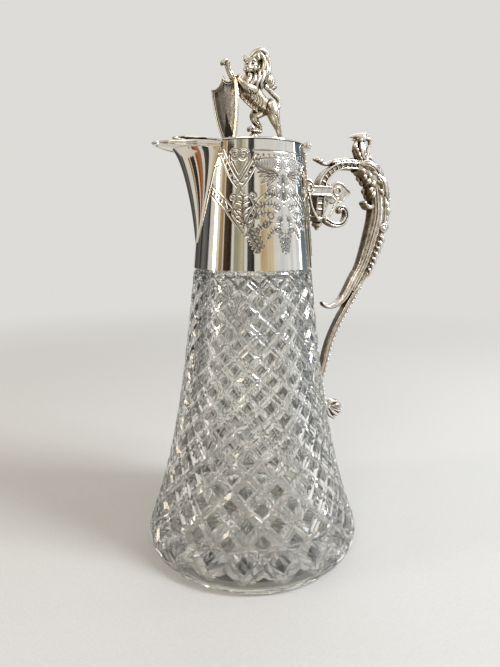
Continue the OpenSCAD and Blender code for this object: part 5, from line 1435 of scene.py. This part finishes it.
def buildTail():
    tail = Course(curlPath, 8)

    def ripple(c, share):
        return -0.28 * (1 - np.cos(2 * math.pi * (c + 1) / 0.66)) * (1 - share * 0.7)

    blobs = chain([(49.6, 0, 141.8, 1.2), (47.9, 0, 142.8, 1.35), (46.9, 0, 144.2, 1.0)], 3)
    for y in (-1.5, 1.5):
        blobs += chain([(49.6, y, 141.8, 1.1), (47.9, y, 142.8, 1.2), (46.9, y, 144.0, 0.8)], 3)
    parts = [sweep(tail, roundedSection(0.6, ripple, 48))] + rounded(blobs)
    sculpted("tail_scroll", "tail_curl", parts, handle["fineVoxel"])


def buildStrap():
    line = Course(strapPath, 8)
    total = line.length[-1]

    def ripple(c, share):
        gutter = smoothStep(-0.1, 0.05, c) * (1 - smoothStep(0.2, 0.35, c))
        score = smoothStep(-0.75, -0.65, c) * (1 - smoothStep(-0.5, -0.4, c))
        return -0.55 * gutter - 0.25 * score

    parts = [sweep(line, roundedSection(0.5, ripple, 48))]
    for side in (-1, 1):
        for at in np.linspace(3.0, total - 1.5, handle["strapBeads"]):
            bead = [line.at(at + shift, 0.72, side * 2.55, handle["beadRadius"]) for shift in (0, 0.05)]
            parts.append(capsule(*bead, 12, 4))
        edge = [line.at(at, 0.45, side * 2.2, 0.75) for at in np.linspace(1, total - 0.5, 60)]
        parts += rounded(beads(edge), 8, 3)
    sculpted("bead_edged_strap", "beaded_strap", parts, handle["fineVoxel"])


def buildLowerLeaf():
    top = float(glassRadius(79)) + 2.65
    blobs = chain([(top - 0.4, 0, 79.4, 1.9), (top + 1.6, 0, 77.0, 2.0), (top + 4.6, 0, 74.2, 2.1),
                   (top + 8.2, 0, 71.8, 2.0), (top + 11.6, 0, 70.8, 1.8), (top + 15.2, 0, 70.8, 0.9)], 4)
    # petals with thick rolled rims round a hollow middle
    for root, bend, tip in (((top + 3.6, 75.6), (top + 6.6, 78.0), (top + 11.0, 77.4)),
                            ((top + 6.8, 73.8), (top + 10.8, 75.4), (top + 14.2, 73.8)),
                            ((top + 6.8, 71.6), (top + 10.6, 68.4), (top + 14.0, 68.6)),
                            ((top + 3.6, 73.0), (top + 5.6, 68.6), (top + 9.6, 65.8))):
        for y in (-1.3, 1.3):
            blobs += chain([(root[0], y * 0.6, root[1], 1.2), (bend[0], y, bend[1], 1.25),
                            (tip[0], y * 0.5, tip[1], 0.8)], 5)
        blobs += chain([(root[0], 0, root[1], 1.5), ((root[0] + tip[0]) / 2, 0, (root[1] + tip[1]) / 2, 1.5),
                        (tip[0] - 0.6, 0, tip[1], 0.9)], 4)
    lines = [np.array([(top + 3.4, 75.0), tip]) for tip in ((top + 9.4, 76.8), (top + 12.6, 73.4), (top + 14.4, 70.9),
                                                            (top + 12.2, 69.2), (top + 8.6, 67.0))]
    sculpted("leaf_at_strap_end", "lower_leaf", rounded(blobs), handle["fineVoxel"], lines, 0.5, 0.45)


def slab(outer, inner, side):
    # flat ring between two closed lines of (x, z) points
    points, n = [], len(outer)
    for y in (bracket["inner"], bracket["outer"]):
        points += [(x, side * y, z) for x, z in outer + inner]
    faces = []
    for k in range(n):
        m = (k + 1) % n
        faces += [[k, m, n + m, n + k], [2 * n + m, 2 * n + k, 3 * n + k, 3 * n + m],
                  [k, 2 * n + k, 2 * n + m, m], [n + m, 3 * n + m, 3 * n + k, n + k]]
    return np.array(points), faces if side < 0 else [f[::-1] for f in faces]


def roundLine(centre, radius, count, closed=False):
    line = [(centre[0] + radius * math.cos(a), centre[1] + radius * math.sin(a))
            for a in np.linspace(0, 2 * math.pi, count, endpoint=False)]
    return line + [(centre[0] + radius, centre[1])] if closed else line


def bearings(line, centre):
    return [math.atan2(z - centre[1], x - centre[0]) for x, z in line]


def rectangle(x0, z0, x1, z1):
    return [(x0, z0), (x1, z0), (x1, z1), (x0, z1)]


def buildPlate(side, name, node):
    high = bracket["outer"] - 0.12
    eye, eyeHole, spade, boss = bracket["eye"], bracket["eyeHole"], bracket["spade"], bracket["boss"]
    low, top = bracket["bar"]
    edge = [tuple(p[:2]) for p in through([(spade[0] + x, spade[1] + z, 0) for x, z in spadeEdge], 3)]
    middle = (spade[0] - 1.2, spade[1])
    tear = [(middle[0] + (1.5 + 0.7 * max(0, -math.sin(a)) ** 3) * math.cos(a),
             middle[1] + (1.5 + 0.7 * max(0, math.sin(a)) ** 3) * math.sin(a)) for a in bearings(edge, middle)]
    ring = [(max(x, 28.3), z) for x, z in roundLine(eye, bracket["eyeRadius"], 40)]
    hole = [(eyeHole[0] + 0.95 * math.cos(a), eyeHole[1] + 0.95 * math.sin(a)) for a in bearings(ring, eye)]
    # the bar is filled in by a smaller ring inside its own
    parts = [slab(edge, tear, side), slab(ring, hole, side),
             slab(rectangle(35.6, low + 0.5, 48.2, top - 0.5), rectangle(41, low + 2.2, 43, low + 3.2), side),
             slab(rectangle(41, low + 2.0, 43, low + 3.4), rectangle(41.9, low + 2.6, 42.1, low + 2.8), side)]
    raised = [edge, ring[2:-1], roundLine(middle, 2.35, 18, True), roundLine(eyeHole, 1.75, 16, True),
              [(35.4, low + 0.3), (48.0, low + 0.3)], [(35.8, top - 0.3), (48.0, top - 0.3)]]
    blobs = []
    for line in raised:
        blobs += beads([(x, side * high, z, bracket["line"]) for x, z in line])
    for way in ([(33.0, low + 0.4), (35.4, 201.2), (39.0, boss[1])],
                [(spade[0] - 1, low - 1.8), (47.6, 197.4), (43.8, boss[1])]):
        spots = through([(x, z, 0) for x, z in way], 8)[:, :2]
        for y in (5.05, 5.35):
            blobs += beads([(x, side * y, z, bracket["stay"]) for x, z in spots])
    for shift in (-2.4, 2.4):
        blobs.append(((boss[0] + shift, side * 5.0, boss[1], 1.7), (boss[0] + shift, side * 5.1, boss[1], 1.7)))
    blobs.append(((boss[0] - 2.4, side * 5.0, boss[1], 0.9), (boss[0] + 2.4, side * 5.0, boss[1], 0.9)))
    sculpted(name, node, parts + rounded(blobs, 12, 3), bracket["voxel"], inner=(side, 4.36))


buildGrip()
buildArch()
buildTongue()
buildBird()
buildInnerScroll()
buildBracketScroll()
buildTail()
buildStrap()
buildLowerLeaf()
buildPlate(-1, "bracket_strapwork_near", "bracket_plate_near")
buildPlate(1, "bracket_strapwork_far", "bracket_plate_far")
print("handle made")


# Lid: a spun disc with a rolled edge and a step, and a tongue with its own rounded edge over the spout
lid = {"low": 233.3, "radius": 28.3, "reach": 45.0, "half": 13.6, "root": 21.1, "tilt": 4.2, "thick": 0.9}


def buildLid():
    r, z = lid["radius"], lid["low"]
    profile = [(r - 0.5, z), (r - 0.12, z + 0.12), (r, z + 0.35), (r - 0.08, z + 0.6), (r - 0.35, z + 0.76),
               (r - 0.9, z + 0.8), (r - 1.05, z + 0.86), (r - 1.15, z + 1.1), (r - 1.4, z + 1.2), (r - 4, z + 1.2),
               (0.6 * r, z + 1.2)]
    points, faces = lathe(profile, 144)
    plan = np.array([tuple(p[:2]) for p in archPlan(lid["reach"], lid["half"], lid["root"], 60)]
                    + [(3 - lid["root"], -lid["half"]), (3 - lid["root"], lid["half"])])
    inward = inwardSides(plan)
    if np.sum((plan.mean(0) - plan) * inward) < 0:
        inward = -inward
    t = lid["thick"]
    rings = [(0.35, -t), (0.05, -t + 0.12), (0, -t + 0.35), (0.05, -0.3), (0.25, -0.1), (0.7, -0.06), (0.85, 0.0),
             (1.6, 0.0)]
    tongue = np.array([(p[0] + q[0] * d, p[1] + q[1] * d, h) for d, h in rings for p, q in zip(plan, inward)])
    n = len(plan)
    skin = gridFaces(len(rings), n)
    skin += [list(range(n))[::-1], [(len(rings) - 1) * n + k for k in range(n)]]
    tilt = math.radians(lid["tilt"])
    x, up = tongue[:, 0] + lid["root"], tongue[:, 2].copy()
    tongue[:, 0] = x * math.cos(tilt) + up * math.sin(tilt) - lid["root"]
    tongue[:, 2] = -x * math.sin(tilt) + up * math.cos(tilt) + z + 1.2
    points, faces = joinMeshes([(points, faces), (tongue, skin)])
    crispEdges(makePiece("lid_with_tongue", points, faces, brightPlate, "lid", "lid_plate"), 40)


buildLid()
print("lid made")


# Studio: even pale floor and background, lamps, and what the metal and the glass mirror
studio = {"front": -111, "pale": "#E8E6E2", "lift": 0.9, "plain": 0.36, "sweep": (0.3, 1.0), "cardRadius": 0.62,
          "aim": 0.14}
# cards and cloths that only mirrors and glass see: place round the jug in degrees to the camera's right, width,
# lowest and highest point in metres, and the two colours that they are streaked with
cards = {"grey cloth left": (-120, 56, 0, 0.55, "#2E2E30", "#6F6E6E"),
         "tan board left": (-62, 8, 0, 0.5, "#8F7350", "#C9AE84"),
         "brown cloth left": (-48, 16, 0, 0.45, "#2B231C", "#5E4A36"),
         "copper card": (-26, 17, 0, 0.2, "#7E4522", "#C58A5C"),
         "sage card": (-25, 20, 0.2, 0.5, "#8F8C77", "#C9C4A8"),
         "dark cloth front": (-3, 13, 0, 0.6, "#262526", "#55524F"),
         "cream board right": (27, 26, 0, 0.4, "#B79F79", "#E6D7B8"),
         "window card": (75, 50, 0, 0.5, "#C9CFD4", "#F1F3F4"),
         "blue grey cloth right": (124, 34, 0, 0.5, "#4B5863", "#93A3B1"),
         "grey cloth back": (152, 18, 0, 0.5, "#2F3033", "#6B6C70")}
# lamps: place in degrees like the cards, distance, height, size in metres, watts and colour; the window stands above
# what the collar mirrors, so that only sloping cuts catch it
lamps = {"window": (74, 1.0, 1.0, (0.34, 0.5), 11, "#F2F7FF"),
         "window pane 58": (58, 1.0, 0.45, (0.05, 0.6), 0.8, "#F2F7FF"),
         "window pane 84": (84, 1.0, 0.45, (0.04, 0.6), 0.64, "#F2F7FF"),
         "window pane 104": (104, 1.0, 0.45, (0.05, 0.6), 0.8, "#F2F7FF"),
         "left strip": (-77, 1.0, 0.45, (0.09, 0.7), 2.2, "#FFEBD0"),
         "room light": (-20, 1.3, 1.2, (0.9, 0.6), 4.0, "#FFF6EA"),
         "overhead": (170, 0.9, 1.1, (0.8, 0.4), 2.0, "#FFFFFF")}


def shownAs(tree, plain, shown):
    # the second shader for what the camera, mirrors and glass see, the first for all else
    rays = addNode(tree, "ShaderNodeLightPath").outputs
    seen = combined(tree, "MAXIMUM", combined(tree, "MAXIMUM", rays["Is Camera Ray"], rays["Is Glossy Ray"]),
                    rays["Is Transmission Ray"])
    return addNode(tree, "ShaderNodeMixShader", links={0: seen, 1: plain, 2: shown}).outputs[0]


# Matt white paper, rolled out: an even pale floor with a fine tooth, which fades into the background far from the jug
def whitePaper(name):
    material, tree, shader, place = newMaterial(name)
    grain = noise(tree, place, 900.0)  # 1 mm tooth
    feed(tree, shader, {"Base Color": colourRamp(tree, grain, [(0.3, "#E6E4E0"), (0.7, "#ECEAE6")])})
    shader.inputs["Roughness"].default_value = 0.85
    shader.inputs["Specular IOR Level"].default_value = 0.1
    away = addNode(tree, "ShaderNodeVectorMath", {"operation": "LENGTH"}, {0: place}).outputs["Value"]
    near, end = studio["sweep"]
    far = addNode(tree, "ShaderNodeMapRange", {"interpolation_type": "SMOOTHSTEP", "From Min": near, "From Max": end},
                  {"Value": away})
    even = addNode(tree, "ShaderNodeEmission", {"Color": hexColour(studio["pale"]), "Strength": studio["lift"]})
    blend = addNode(tree, "ShaderNodeMixShader", links={0: far.outputs["Result"], 1: shader.outputs[0],
                                                        2: even.outputs[0]})
    feed(tree, tree.nodes["Material Output"], {"Surface": shownAs(tree, shader.outputs[0], blend.outputs[0])})
    return material


def paleFloor():
    count, radius, level = 96, 4, -0.0003
    mesh = bpy.data.meshes.new("floor")
    ring = [(radius * math.cos(2 * math.pi * k / count), radius * math.sin(2 * math.pi * k / count), level)
            for k in range(count)]
    mesh.from_pydata(ring, [], [tuple(range(count))])
    newObject("floor", mesh, whitePaper("matt white paper, rolled"))


def paleWorld():
    world = bpy.data.worlds.new("studio")
    scene.world = world
    world.use_nodes = True
    tree = world.node_tree
    plain = tree.nodes["Background"]
    plain.inputs["Color"].default_value = hexColour("#F1EFEA")
    plain.inputs["Strength"].default_value = studio["plain"]
    shown = addNode(tree, "ShaderNodeBackground", {"Color": hexColour(studio["pale"]), "Strength": studio["lift"]})
    feed(tree, tree.nodes["World Output"], {"Surface": shownAs(tree, plain.outputs[0], shown.outputs[0])})


def roundJug(azimuth, distance, height):
    # azimuth is counted from the camera's side of the jug, positive to the camera's right
    a = math.radians(studio["front"] + azimuth)
    return distance * math.cos(a), distance * math.sin(a), height


def softLamp(name, azimuth, distance, height, size, energy, colour):
    data = bpy.data.lights.new(name, "AREA")
    data.shape = "RECTANGLE"
    data.size, data.size_y = size
    data.energy = energy
    data.color = hexColour(colour)[:3]
    lamp = bpy.data.objects.new(name, data)
    lamp.location = roundJug(azimuth, distance, height)
    lamp.rotation_euler = (Vector((0, 0, studio["aim"])) - lamp.location).to_track_quat("-Z", "Y").to_euler()
    scene.collection.objects.link(lamp)


# Hung cloth or painted board, lit by itself: soft streaks between a dark and a light tone, seen only as reflections
def streaked(name, dark, light):
    material, tree, shader, place = newMaterial(name)
    stretch = addNode(tree, "ShaderNodeMapping", {"Scale": (9.0, 9.0, 1.2)}, {"Vector": place}).outputs["Vector"]
    # folds 110 mm apart
    folds = addNode(tree, "ShaderNodeTexNoise", {"Scale": 1.0, "Detail": 3.0, "Roughness": 0.65}, {"Vector": stretch})
    tone = colourRamp(tree, folds.outputs["Fac"], [(0.38, dark), (0.62, light)])
    glow = addNode(tree, "ShaderNodeEmission", {"Strength": 1.0}, {"Color": tone})
    feed(tree, tree.nodes["Material Output"], {"Surface": glow.outputs[0]})
    return material


def standCard(name, azimuth, width, low, high, dark, light):
    steps = 12
    points = [roundJug(azimuth + width * (k / steps - 0.5), studio["cardRadius"], z) for k in range(steps + 1)
              for z in (low, high)]
    mesh = bpy.data.meshes.new(name)
    mesh.from_pydata(points, [], [(2 * k, 2 * k + 2, 2 * k + 3, 2 * k + 1) for k in range(steps)])
    card = newObject(name.replace(" ", "_"), mesh, streaked(name, dark, light))
    card.visible_camera = card.visible_diffuse = card.visible_shadow = card.visible_volume_scatter = False


paleFloor()
paleWorld()
for name, values in lamps.items():
    softLamp(name, *values)
for name, values in cards.items():
    standCard(name, *values)
print("studio set")
